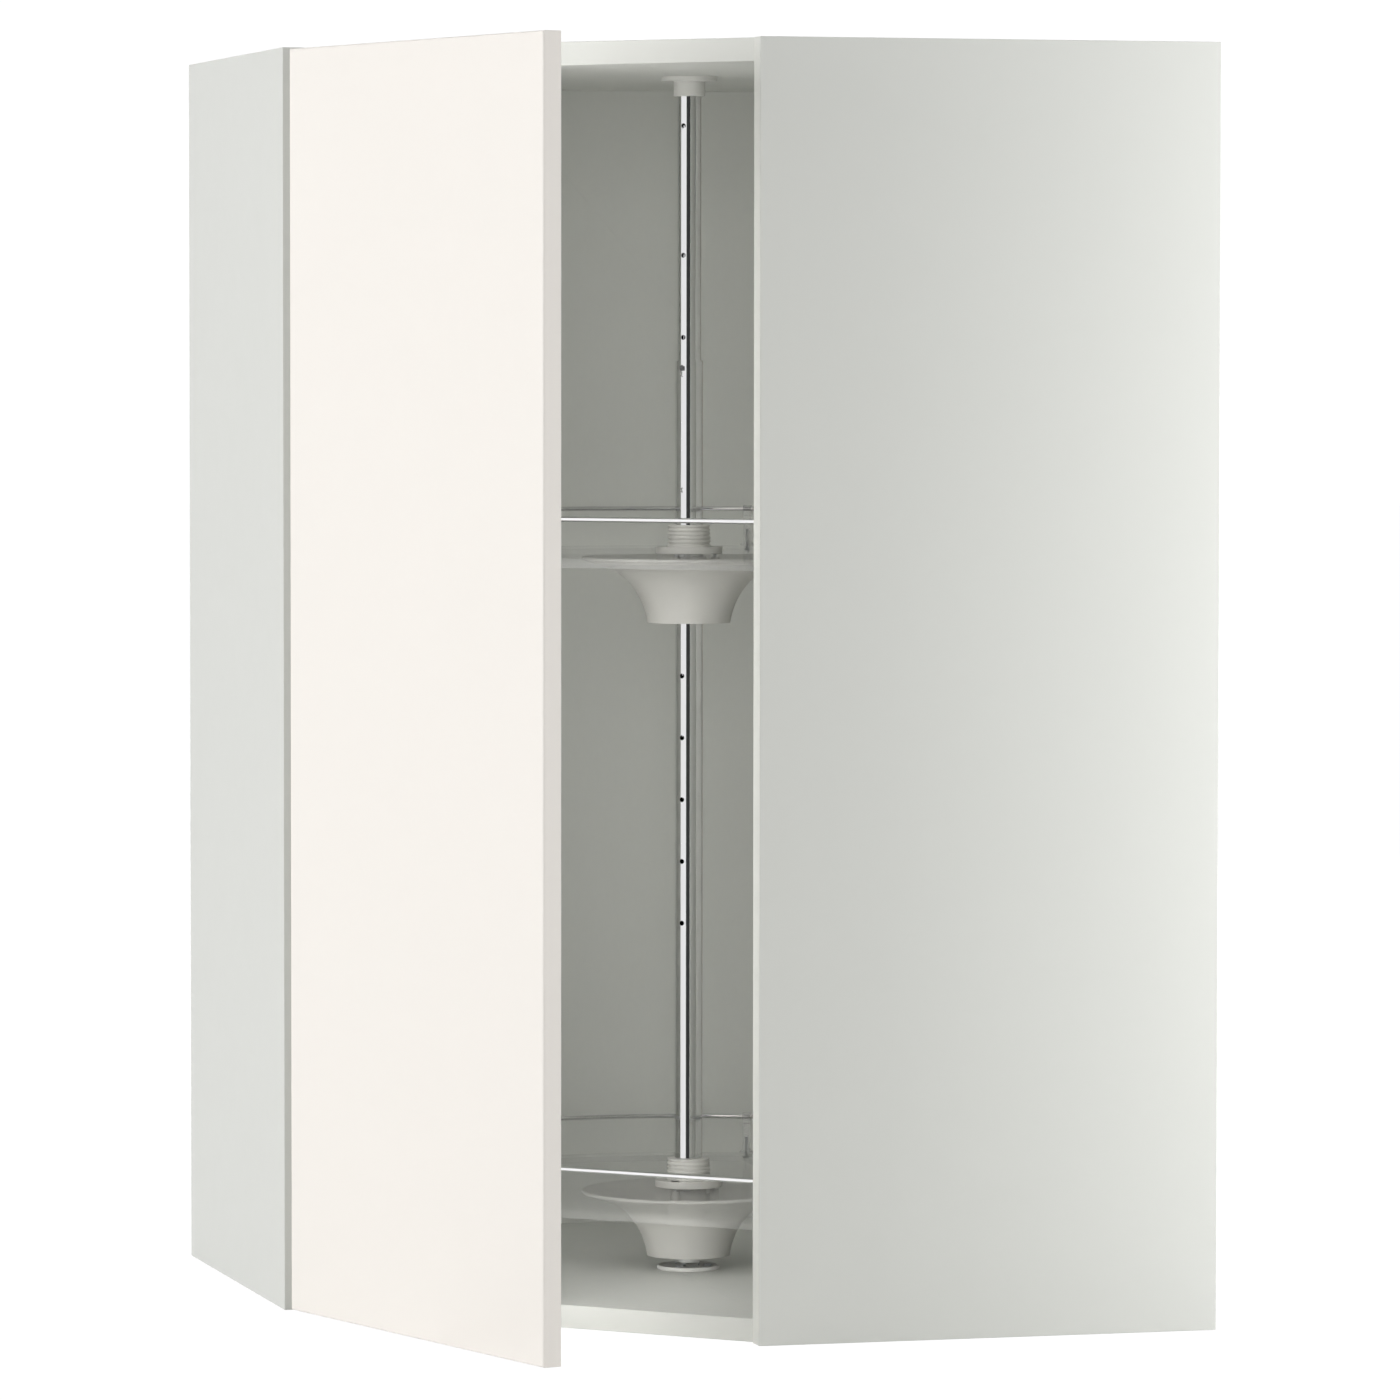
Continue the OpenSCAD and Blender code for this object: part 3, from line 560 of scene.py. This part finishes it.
def post_recipe():
    """Rail posts on points: a flared foot, a waisted stem and an eye for the wire."""
    recipe = Recipe("rail_posts", Stem=3.6 * MM, Foot=6.0 * MM, Eye=4.0 * MM)
    stem, foot, eye = recipe.size("Stem"), recipe.size("Foot"), recipe.size("Eye")
    waist = recipe.maths("MULTIPLY", stem, 0.86)
    parts = []
    # Each drum: its radius below and above, then where it starts and how tall it is.
    for low, high, base, depth in (
        (foot, foot, 0.0, 1.2),
        (foot, stem, 1.1, 2.4),
        (stem, waist, 3.4, 11.0),
        (waist, stem, 14.3, 11.0),
        (stem, eye, 25.2, 3.0),
        (eye, eye, 28.1, 4.6),
        (eye, stem, 32.6, 1.5),
    ):
        drum = recipe.add(
            "GeometryNodeMeshCone",
            inputs={
                "Vertices": 32,
                "Side Segments": 1,
                "Radius Top": high,
                "Radius Bottom": low,
                "Depth": depth * MM,
            },
        )
        raised = recipe.add(
            "GeometryNodeTransform",
            inputs={0: drum.outputs["Mesh"], "Translation": (0.0, 0.0, base * MM)},
        )
        parts.append(raised.outputs[0])
    spots = recipe.add(
        "GeometryNodeInstanceOnPoints",
        inputs={"Points": recipe.inlet.outputs[0], "Instance": recipe.join(*parts)},
    )
    recipe.finish(spots.outputs[0])
    return recipe


def path_mesh(name, points, closed=True):
    """Edges through the points, in millimetres, for a recipe to follow."""
    mesh = bpy.data.meshes.new(name)
    count = len(points)
    edges = [(i, (i + 1) % count) for i in range(count if closed else count - 1)]
    mesh.from_pydata([Vector(p) * MM for p in points], edges, [])
    return mesh


def points_mesh(name, points):
    mesh = bpy.data.meshes.new(name)
    mesh.from_pydata([Vector(p) * MM for p in points], [], [])
    return mesh


def front_corner(radius, front, corner):
    """Where a rounded front corner has its centre, and how far round the arc it reaches."""
    back = front - corner
    across = math.sqrt((radius - corner) ** 2 - back**2)
    return across, back, math.degrees(math.atan2(across, back))


def tray_outline(radius, front, corner, height, step=2.0, corner_steps=12):
    """The round outline cut straight at the front, with rounded corners, from above."""
    across, back, turn = front_corner(radius, front, corner)
    points = []
    for side in (1, -1):
        arc = [k * turn / corner_steps for k in range(corner_steps + 1)]
        if side < 0:
            arc.reverse()
        for angle in arc:
            a = math.radians(angle)
            x = side * (across + corner * math.sin(a))
            points.append((x, -(back + corner * math.cos(a)), height))
        if side > 0:
            count = int((360 - 2 * turn) / step)
            for k in range(1, count):
                a = math.radians(turn - 90 + k * (360 - 2 * turn) / count)
                points.append((radius * math.cos(a), radius * math.sin(a), height))
    return points


# ---------------------------------------------------------------- carcass and door

for node in ("left_side_panel", "right_side_panel", "top_panel", "bottom_panel"):
    eased(node, 0.5, panel_foil)
for node in ("back_panel", "right_back_panel"):
    eased(node, 0.25, back_paint)
eased("corner_batten", 1.0, softwood)
eased("dowels", 0.5, beech)
eased("door_panel", 0.35, door_foil, 3)

for node in (
    "cam_bolts",
    "cam_locks",
    "back_nails",
    "bracket_screws",
    "plate_screws",
    "arm_screws",
    "floor_screws",
    "ceiling_screws",
    "cup_screws",
    "hub_screws",
    "grub_screws",
    "post_screws",
):
    eased(node, 0.12, zinc)
eased("hanging_brackets", 0.4, zinc)
for node in ("hinge_plates", "hinge_arms", "hinge_links", "hinge_cups"):
    eased(node, 0.3, nickel)
for node in ("arm_pins", "door_pins"):
    eased(node, 0.1, nickel)
eased("tube_catch", 0.1, dark_catch_metal)


# ---------------------------------------------------------------- pole and bearings


def polished_tube(node, outer, step=6.0):
    """A CAD tube cut into short rings on its true radius, so that reflections run straight."""
    faceted_r = (outer - 0.15) * MM
    true_r = (outer - 0.02) * MM
    work = bmesh.new()
    work.from_mesh(NODES[node].data)
    bmesh.ops.remove_doubles(work, verts=work.verts, dist=TINY)
    heights = [vert.co.z for vert in work.verts]
    for k in range(1, int((max(heights) - min(heights)) / (step * MM))):
        bmesh.ops.bisect_plane(
            work,
            geom=work.verts[:] + work.edges[:] + work.faces[:],
            plane_co=(0, 0, min(heights) + k * step * MM),
            plane_no=(0, 0, 1),
        )
    for vert in work.verts:
        spoke = Vector((vert.co.x, vert.co.y, 0)) - AXIS
        if spoke.length > faceted_r:
            vert.co = AXIS + spoke.normalized() * outer * MM + Vector((0, 0, vert.co.z))
    mesh = bpy.data.meshes.new(node + "_polished")
    work.to_mesh(mesh)
    work.free()
    piece = smooth(new_piece(node + "_polished", mesh, chrome), 30.0)
    normals = [Vector(n.vector) for n in mesh.corner_normals]
    for face in mesh.polygons:
        for corner in face.loop_indices:
            spoke = mesh.vertices[mesh.loops[corner].vertex_index].co - AXIS
            spoke.z = 0
            if spoke.length > true_r and face.normal.dot(spoke.normalized()) > 0.9:
                normals[corner] = spoke.normalized()
    mesh.normals_split_custom_set(normals)
    hand_over(piece, BODIES[node], SLOTS[node], node)


polished_tube("lower_tube", TUBE_R)
polished_tube("upper_tube", UPPER_TUBE_R)


def turned_piece(node, profile, finish, soft=0.4):
    """A turned part that stands for a CAD node, with its corners softened."""
    piece = turned_mesh(node + "_turned", rounded(profile, soft), finish)
    smooth(piece, 50.0)
    hand_over(piece, BODIES[node], SLOTS[node], node)


turned_piece(
    "floor_plate",
    [(4.05, 18.0), (25.5, 18.0), (25.5, 21.2), (23.3, 21.2), (22.6, 20.0), (4.05, 20.0)],
    bearing_plastic,
    0.6,
)
turned_piece(
    "floor_spigot",
    [(0, 8.5), (4, 8.5), (4, 20), (9.45, 20), (9.45, 29), (6, 29), (6, 54.2), (5, 55), (0, 55)],
    chrome,
)
turned_piece(
    "foot_plug",
    [
        (6.06, HUB_BOTTOM),
        (TUBE_R, HUB_BOTTOM),
        (TUBE_R, 30),
        (9.7, 30),
        (9.7, 61),
        (0, 61),
        (0, 55.15),
        (6.06, 55.15),
    ],
    bearing_plastic,
    0.2,
)
eased("ceiling_plate", 0.5, bearing_plastic, 3)
eased("top_plug", 0.4, bearing_plastic)


# ---------------------------------------------------------------- trays, hubs and rails

for level in TRAY_LEVELS:
    eased(level + "_tray", 0.7, tray_plastic, 3)

WIRES = wire_recipe()
RINGS = ring_recipe()
POSTS = post_recipe()


def join_pieces(first, *others):
    """Moves the other pieces' meshes into the first piece."""
    work = bmesh.new()
    for piece in (first, *others):
        work.from_mesh(piece.data)
    work.to_mesh(first.data)
    work.free()
    for piece in others:
        bpy.data.objects.remove(piece)


WIRE_SIDES = 20
FERRULE_WALL = 0.4
FERRULE_STOPS = (-2.0, -1.6, 1.6, 2.0)


def ferrule(spot, along, height):
    """A short closed sleeve on the wire at a spot."""
    ends = [(spot[0] + along[0] * k, spot[1] + along[1] * k, height) for k in FERRULE_STOPS]
    sleeve = WIRES.make(
        "sleeve",
        path_mesh("sleeve", ends, closed=False),
        wire_chrome,
        Radius=(WIRE_R + FERRULE_WALL) * MM,
        Sides=WIRE_SIDES,
    )
    work = bmesh.new()
    work.from_mesh(sleeve.data)
    bmesh.ops.holes_fill(work, edges=[edge for edge in work.edges if edge.is_boundary])
    work.to_mesh(sleeve.data)
    work.free()
    return sleeve


def rail(level, top):
    """The wire round a tray, with the ferrules that close its bends."""
    height = top + RAIL_LIFT
    outline = tray_outline(RING_R, RING_FRONT, RING_CORNER, height)
    wire = WIRES.make(
        level + "_rail_wire",
        path_mesh("outline", outline),
        wire_chrome,
        Radius=WIRE_R * MM,
        Sides=WIRE_SIDES,
    )
    across, _, turn = front_corner(RING_R, RING_FRONT, RING_CORNER)
    sine, cosine = math.sin(math.radians(turn)), math.cos(math.radians(turn))
    sleeves = []
    for side in (1, -1):
        sleeves.append(ferrule((side * across, -RING_FRONT), (1, 0), height))
        bend = (side * RING_R * sine, -RING_R * cosine)
        sleeves.append(ferrule(bend, (cosine, side * sine), height))
    join_pieces(wire, *sleeves)
    smooth(wire, 50.0)
    hand_over(wire, "carousel", "rail_chrome", level + "_tray_rail")


def posts(level, top):
    """The posts that carry a tray's wire, on the wire's own line."""
    spots = []
    for angle in POST_ANGLES:
        a = math.radians(angle - 90)
        spots.append((RING_R * math.cos(a), RING_R * math.sin(a), top))
    piece = POSTS.make(level + "_posts", points_mesh("post_spots", spots), post_plastic)
    smooth(piece, 40.0)
    hand_over(piece, "carousel", "post_clear", level + "_rail_posts")


# The trumpet under each tray: an elliptical flare, measured down from the tray's underside.
FLARE_CENTRE = (79.74, -63.0)
FLARE_AXES = (46.88, 56.33)
FLARE_TOP = 75.0
FLARE_STEPS = 36
CONE_H = LOWER_TRAY - TRAY_T - HUB_BOTTOM
CONE_WALL = 2.2
RIM_R = 85.0
RIM_BEAD = 1.5
BORE_R = 11.3
BUSH_R = 14.3
CONE_FLOOR = 2.5
PILLAR_R = 3.6
PILLAR_AT = 21.0
HUB_RIBS = 6
RIB_T = 1.8
# How far from the axis a rib reaches and how high, with a screw pillar at its end or not.
PILLAR_RIB = (20.0, -4.0)
PLAIN_RIB = (32.0, -CONE_H + 20.0)


def flare(wall):
    """Points up the trumpet's wall, from its foot to just under the rim."""
    low = math.degrees(math.asin((-FLARE_CENTRE[1] - CONE_H) / FLARE_AXES[1]))
    result = []
    for k in range(FLARE_STEPS + 1):
        a = math.radians(low + (FLARE_TOP - low) * k / FLARE_STEPS)
        result.append(
            (
                FLARE_CENTRE[0] - (FLARE_AXES[0] + wall) * math.cos(a),
                FLARE_CENTRE[1] + (FLARE_AXES[1] + wall) * math.sin(a),
            )
        )
    return result


def cone_profile():
    """The hub's section: outer wall, beaded rim, inner wall, floor and bush."""
    rim = [
        (
            RIM_R + RIM_BEAD * math.cos(math.radians(a)),
            -RIM_BEAD + RIM_BEAD * math.sin(math.radians(a)),
        )
        for a in range(-70, 91, 20)
    ]
    inside = [point for point in reversed(flare(CONE_WALL)) if point[1] > -CONE_H + 3.5]
    floor = [
        (31.0, -CONE_H + CONE_FLOOR),
        (BUSH_R, -CONE_H + CONE_FLOOR),
        (BUSH_R, 0),
        (BORE_R, 0),
        (BORE_R, -CONE_H),
    ]
    return flare(0.0) + rim + [(82.0, -0.4)] + inside + floor


def hub_rib(base, k):
    """A rib inside the hub. Every other one ends in a screw pillar."""
    pillar = k % 2 == 0
    reach, rise = PILLAR_RIB if pillar else PLAIN_RIB
    mesh = bpy.data.meshes.new("rib")
    work = bmesh.new()
    bmesh.ops.create_cube(work, size=1.0)
    for vert in work.verts:
        vert.co.x = (BUSH_R - 1 if vert.co.x < 0 else reach) * MM
        vert.co.y *= RIB_T * MM
        vert.co.z = (base + (-CONE_H + 1 if vert.co.z < 0 else rise)) * MM
    if pillar:
        depth = CONE_H - 1
        made = bmesh.ops.create_cone(
            work,
            cap_ends=True,
            segments=32,
            radius1=PILLAR_R * MM,
            radius2=PILLAR_R * MM,
            depth=depth * MM,
        )
        middle = (PILLAR_AT * MM, 0, (base - depth / 2) * MM)
        bmesh.ops.translate(work, verts=made["verts"], vec=middle)
    work.transform(CAROUSEL @ Matrix.Rotation(math.radians(30 + k * 360 / HUB_RIBS), 4, "Z"))
    work.to_mesh(mesh)
    work.free()
    return new_piece("rib", mesh, hub_plastic)


def hub_cone(level, top):
    """The trumpet that carries a tray, hollow and ribbed inside."""
    base = top - TRAY_T
    profile = [(radius, height + base) for radius, height in cone_profile()]
    cone = turned_mesh(level + "_cone_turned", profile, hub_plastic, 128)
    join_pieces(cone, *[hub_rib(base, k) for k in range(HUB_RIBS)])
    smooth(cone, 40.0)
    hand_over(cone, "carousel", "hub_plastic", level + "_hub_cone")


FIRST_RING = 0.8
RING_PITCH = 3.15
RING_COUNT = 6


def hub_collar(level, top):
    """The flange that clamps the tray and the ribbed collar that grips the pole."""
    eased(level + "_hub_collar", 0.35, collar_plastic, 3)
    spots = [(0, 0, top + FLANGE_T + FIRST_RING + RING_PITCH * k) for k in range(RING_COUNT)]
    mesh = points_mesh("ring_spots", spots)
    rings = RINGS.make(level + "_collar_rings", mesh, collar_plastic)
    smooth(rings, 60.0)
    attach(rings, "carousel")


for level, top in TRAY_LEVELS.items():
    rail(level, top)
    posts(level, top)
    hub_cone(level, top)
    hub_collar(level, top)


# ---------------------------------------------------------------- stage, light and camera


def seen_ray(finish):
    """1 for rays that show the background: straight, mirrored or through clear plastic."""
    path = finish.add("ShaderNodeLightPath")
    ray = Signal(finish, path.outputs["Is Camera Ray"])
    ray = ray.largest(Signal(finish, path.outputs["Is Glossy Ray"]))
    return ray.largest(Signal(finish, path.outputs["Is Transmission Ray"]))


STAGE_REACH = 30.0
FLOOR_DROP = 0.0005


def pale_floor():
    """A floor that looks white and still takes a tenth of its look from light and shadow."""
    finish = Finish("pale_floor", Base_Color=(0.82, 0.82, 0.81, 1.0), Roughness=0.9)
    white = finish.add("ShaderNodeEmission", inputs={"Color": (1.0, 1.0, 1.0), "Strength": 1.1})
    mix = finish.add(
        "ShaderNodeMixShader",
        inputs={
            0: seen_ray(finish) * 0.9,
            1: finish.shader.outputs[0],
            2: white.outputs[0],
        },
    )
    finish.feed(finish.output.inputs["Surface"], mix.outputs[0])
    mesh = bpy.data.meshes.new("floor")
    signs = ((-1, -1), (1, -1), (1, 1), (-1, 1))
    corners = [(x * STAGE_REACH, y * STAGE_REACH, 0) for x, y in signs]
    mesh.from_pydata(corners, [], [(0, 1, 2, 3)])
    floor = new_piece("floor", mesh, finish.material)
    floor.location.z = -FLOOR_DROP


class WorldFinish(Finish):
    """The world's node tree, worked in the same way as a material's."""

    def __init__(self, world):
        world.use_nodes = True
        self.tree = world.node_tree
        self.shader = self.tree.nodes["Background"]


AMBIENT = 0.18
BACKDROP = 1.04


def studio_world():
    """A white backdrop to look at, which lights the object only faintly."""
    world = bpy.data.worlds.new("studio")
    bpy.context.scene.world = world
    finish = WorldFinish(world)
    finish.shader.inputs["Color"].default_value = (1.0, 1.0, 1.0, 1.0)
    finish.wear("Strength", seen_ray(finish) * (BACKDROP - AMBIENT) + AMBIENT)


def soft_lamp(name, place, target, size, power, mirrored=False, spread=180.0):
    """A rectangular lamp aimed at a target. Unless mirrored, no reflection shows it."""
    data = bpy.data.lights.new(name, "AREA")
    data.shape = "RECTANGLE"
    data.size, data.size_y = size
    data.energy = power
    data.spread = math.radians(spread)
    lamp = bpy.data.objects.new(name, data)
    lamp.location = place
    lamp.rotation_mode = "QUATERNION"
    lamp.rotation_quaternion = (Vector(target) - Vector(place)).to_track_quat("-Z", "Y")
    lamp.visible_camera = False
    lamp.visible_glossy = mirrored
    bpy.context.scene.collection.objects.link(lamp)
    return lamp


pale_floor()
studio_world()
soft_lamp("left_softbox", (-5.5, -0.9, 0.6), (-0.6, -0.35, 0.5), (2.6, 2.6), 178.0, mirrored=True)
soft_lamp("front_softbox", (-2.4, -5.5, 1.0), (-0.35, -0.35, 0.5), (2.0, 2.0), 71.0)
soft_lamp("right_softbox", (3.6, -1.9, 0.5), (-0.2, -0.675, 0.5), (1.2, 2.4), 41.0, mirrored=True)
soft_lamp("right_strip", (0.35, -1.0, 0.48), (0.05, -0.675, 0.48), (0.15, 1.8), 4.7)
soft_lamp("back_softbox", (2.4, 3.6, 1.9), (0.0, 0.0, 0.5), (2.5, 2.5), 150.0)
soft_lamp("top_softbox", (-0.3, -0.3, 3.0), (-0.3, -0.3, 1.0), (0.4, 0.4), 0.9, spread=40.0)
soft_lamp(
    "low_card", (-0.516, -0.474, 0.056), (-0.332, -0.332, 0.05), (0.3, 0.03), 0.036, spread=60.0
)
# Two cards behind the open door throw its light back into the cabinet and travel with it.
for name, place, target, size, power in (
    ("inner_softbox", (-0.555, -0.5305, 0.5), (0.02, -0.023, 0.5), (0.22, 0.78), 0.78),
    ("edge_strip", (-0.556, -0.556, 0.5), (-0.3566, -0.6617, 0.5), (0.03, 0.98), 0.64),
):
    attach(soft_lamp(name, place, target, size, power), "door")


def mirror_only(card):
    """Hides a card from everything but reflections."""
    card.visible_camera = card.visible_diffuse = False
    card.visible_transmission = card.visible_shadow = False


# The flag paints dark reflections: it is seen only in mirrors and blocks no light. The way from
# the cabinet to the camera, the way across it, how far off the flag stands, and its corners: how
# far across and how high.
TO_CAMERA = Vector((-0.264, -0.965, 0))
ACROSS_VIEW = Vector((0.965, -0.264, 0))
FLAG_AWAY = 9.0
FLAG_CORNERS = ((-3.0, 0.02), (2.2, 0.02), (2.2, 6.0), (-3.0, 6.0))


def painted_dark_reflection():
    """A dark card behind the camera, there only for the chrome to mirror: a painted dark
    reflection that blocks no light.
    """
    finish = Finish("painted_dark_reflection", Base_Color=(0.01, 0.01, 0.01, 1.0), Roughness=1.0)
    mesh = bpy.data.meshes.new("flag")
    foot = TO_CAMERA * FLAG_AWAY
    corners = [foot + ACROSS_VIEW * side + Vector((0, 0, up)) for side, up in FLAG_CORNERS]
    mesh.from_pydata(corners, [], [(0, 1, 2, 3)])
    mirror_only(new_piece("painted_dark_reflection", mesh, finish.material))


def glow_where(finish, zones):
    """A clear surface that glows in zones: each has a signal that is 1 there, and a strength."""
    surface = finish.add("ShaderNodeBsdfTransparent")
    for zone, strength in zones:
        glow = finish.add("ShaderNodeEmission", inputs={"Strength": strength})
        surface = finish.add(
            "ShaderNodeMixShader", inputs={0: zone, 1: surface.outputs[0], 2: glow.outputs[0]}
        )
    finish.feed(finish.output.inputs["Surface"], surface.outputs[0])


# The pole's painted reflection: a glowing sleeve, seen only in mirrors, paints a white highlight
# stripe and a dark line on the chrome. In millimetres to the left of the pole's middle: the white
# starts at the first, gives way to the dark line at the second, and that ends at the third. The
# sleeve that makes it has two ends, each a radius and a height.
STRIPE_START, STRIPE_EDGE, STRIPE_END = 6.5, 2.2, -0.8
# How brightly the sleeve glows for the painted highlight and for the painted dark line.
PAINTED_STRIPE_GLOW, PAINTED_DARK_LINE_GLOW = 0.9, 0.04
SLEEVE = [(95.0, 22.0), (95.0, 978.0)]


def painted_pole_reflection():
    """A glowing sleeve round the pole, seen only in reflections: a painted reflection that puts a
    white highlight stripe beside a dark line on the chrome.

    A mirrored ray keeps its distance from the axis, so that distance says where on the pole
    the ray was seen.
    """
    finish = Finish("painted_pole_reflection")
    place = finish.add("ShaderNodeNewGeometry")
    spoke = finish.add(
        "ShaderNodeVectorMath",
        {"operation": "SUBTRACT"},
        {0: place.outputs["Position"], 1: tuple(AXIS)},
    )
    moment = finish.add(
        "ShaderNodeVectorMath",
        {"operation": "CROSS_PRODUCT"},
        {0: spoke.outputs[0], 1: place.outputs["Incoming"]},
    )
    split = finish.add("ShaderNodeSeparateXYZ", inputs={0: moment.outputs[0]})
    left = Signal(finish, split.outputs["Z"]) * (1 / MM)
    inside = Signal(finish, place.outputs["Backfacing"])
    # Painted reflection: the zones where the sleeve glows as the dark line and as the white
    # highlight stripe.
    dark = left.above(STRIPE_END) * (1 - left.above(STRIPE_EDGE)) * inside
    white = left.above(STRIPE_EDGE) * (1 - left.above(STRIPE_START)) * inside
    glow_where(finish, ((dark, PAINTED_DARK_LINE_GLOW), (white, PAINTED_STRIPE_GLOW)))
    mirror_only(turned_mesh("painted_pole_reflection", SLEEVE, finish.material, closed=False))


# The card that paints the wires' highlight: its two upright edges in plan, its height, and what a
# ray must do to see it.
HINGE_EDGE, FREE_EDGE = (-0.64, -0.434), (-0.46, -0.638)
CARD_LOW, CARD_HIGH = 0.02, 0.98
LEAST_LEAN, MOST_RISE = 0.2, 0.7
# How brightly the card glows: the painted highlight on the wires.
WIRE_HIGHLIGHT_GLOW = 1.15


def painted_wire_highlight():
    """A glowing card behind the open door, seen only in reflections, which paints the white
    highlight line along the rails' front.

    Rays from the straight front wires all lean alike along the diagonal front, which tells
    them from the rays of the wires at the back.
    """
    finish = Finish("painted_wire_highlight")
    place = finish.add("ShaderNodeNewGeometry")
    lean = finish.add(
        "ShaderNodeVectorMath",
        {"operation": "DOT_PRODUCT"},
        {0: place.outputs["Incoming"], 1: (math.sqrt(0.5), -math.sqrt(0.5), 0.0)},
    )
    split = finish.add("ShaderNodeSeparateXYZ", inputs={0: place.outputs["Incoming"]})
    rise = Signal(finish, split.outputs["Z"])
    front = Signal(finish, lean.outputs["Value"]).above(LEAST_LEAN)
    level = rise.above(-MOST_RISE) * (1 - rise.above(MOST_RISE))
    inside = 1 - Signal(finish, place.outputs["Backfacing"])
    # Painted highlight: the card glows only for rays from the front wires.
    glow_where(finish, ((front * level * inside, WIRE_HIGHLIGHT_GLOW),))
    mesh = bpy.data.meshes.new("painted_wire_highlight")
    corners = [(*FREE_EDGE, CARD_LOW), (*HINGE_EDGE, CARD_LOW)]
    corners += [(*HINGE_EDGE, CARD_HIGH), (*FREE_EDGE, CARD_HIGH)]
    mesh.from_pydata(corners, [], [(0, 1, 2, 3)])
    mirror_only(new_piece("painted_wire_highlight", mesh, finish.material))


painted_dark_reflection()
painted_pole_reflection()
painted_wire_highlight()


def camera_at(place, yaw, pitch, roll, lens):
    """The photograph's viewpoint. Yaw turns from +Y towards +X."""
    yaw, pitch, roll = map(math.radians, (yaw, pitch, roll))
    ahead = Vector(
        (math.sin(yaw) * math.cos(pitch), math.cos(yaw) * math.cos(pitch), math.sin(pitch))
    )
    right = Vector((math.cos(yaw), -math.sin(yaw), 0))
    up = right.cross(ahead)
    right, up = (
        right * math.cos(roll) + up * math.sin(roll),
        up * math.cos(roll) - right * math.sin(roll),
    )
    data = bpy.data.cameras.new("camera")
    data.sensor_width = 36.0
    data.lens = lens
    data.clip_start, data.clip_end = 0.1, 100.0
    camera = bpy.data.objects.new("camera", data)
    turn = Matrix((right, up, -ahead)).transposed().to_4x4()
    camera.matrix_world = Matrix.Translation(place) @ turn
    bpy.context.scene.collection.objects.link(camera)
    bpy.context.scene.camera = camera


camera_at(
    place=(-1.915677, -6.107958, 0.757365), yaw=15.419, pitch=-2.657, roll=0.053, lens=190.71
)
bpy.context.scene.view_settings.view_transform = "Standard"
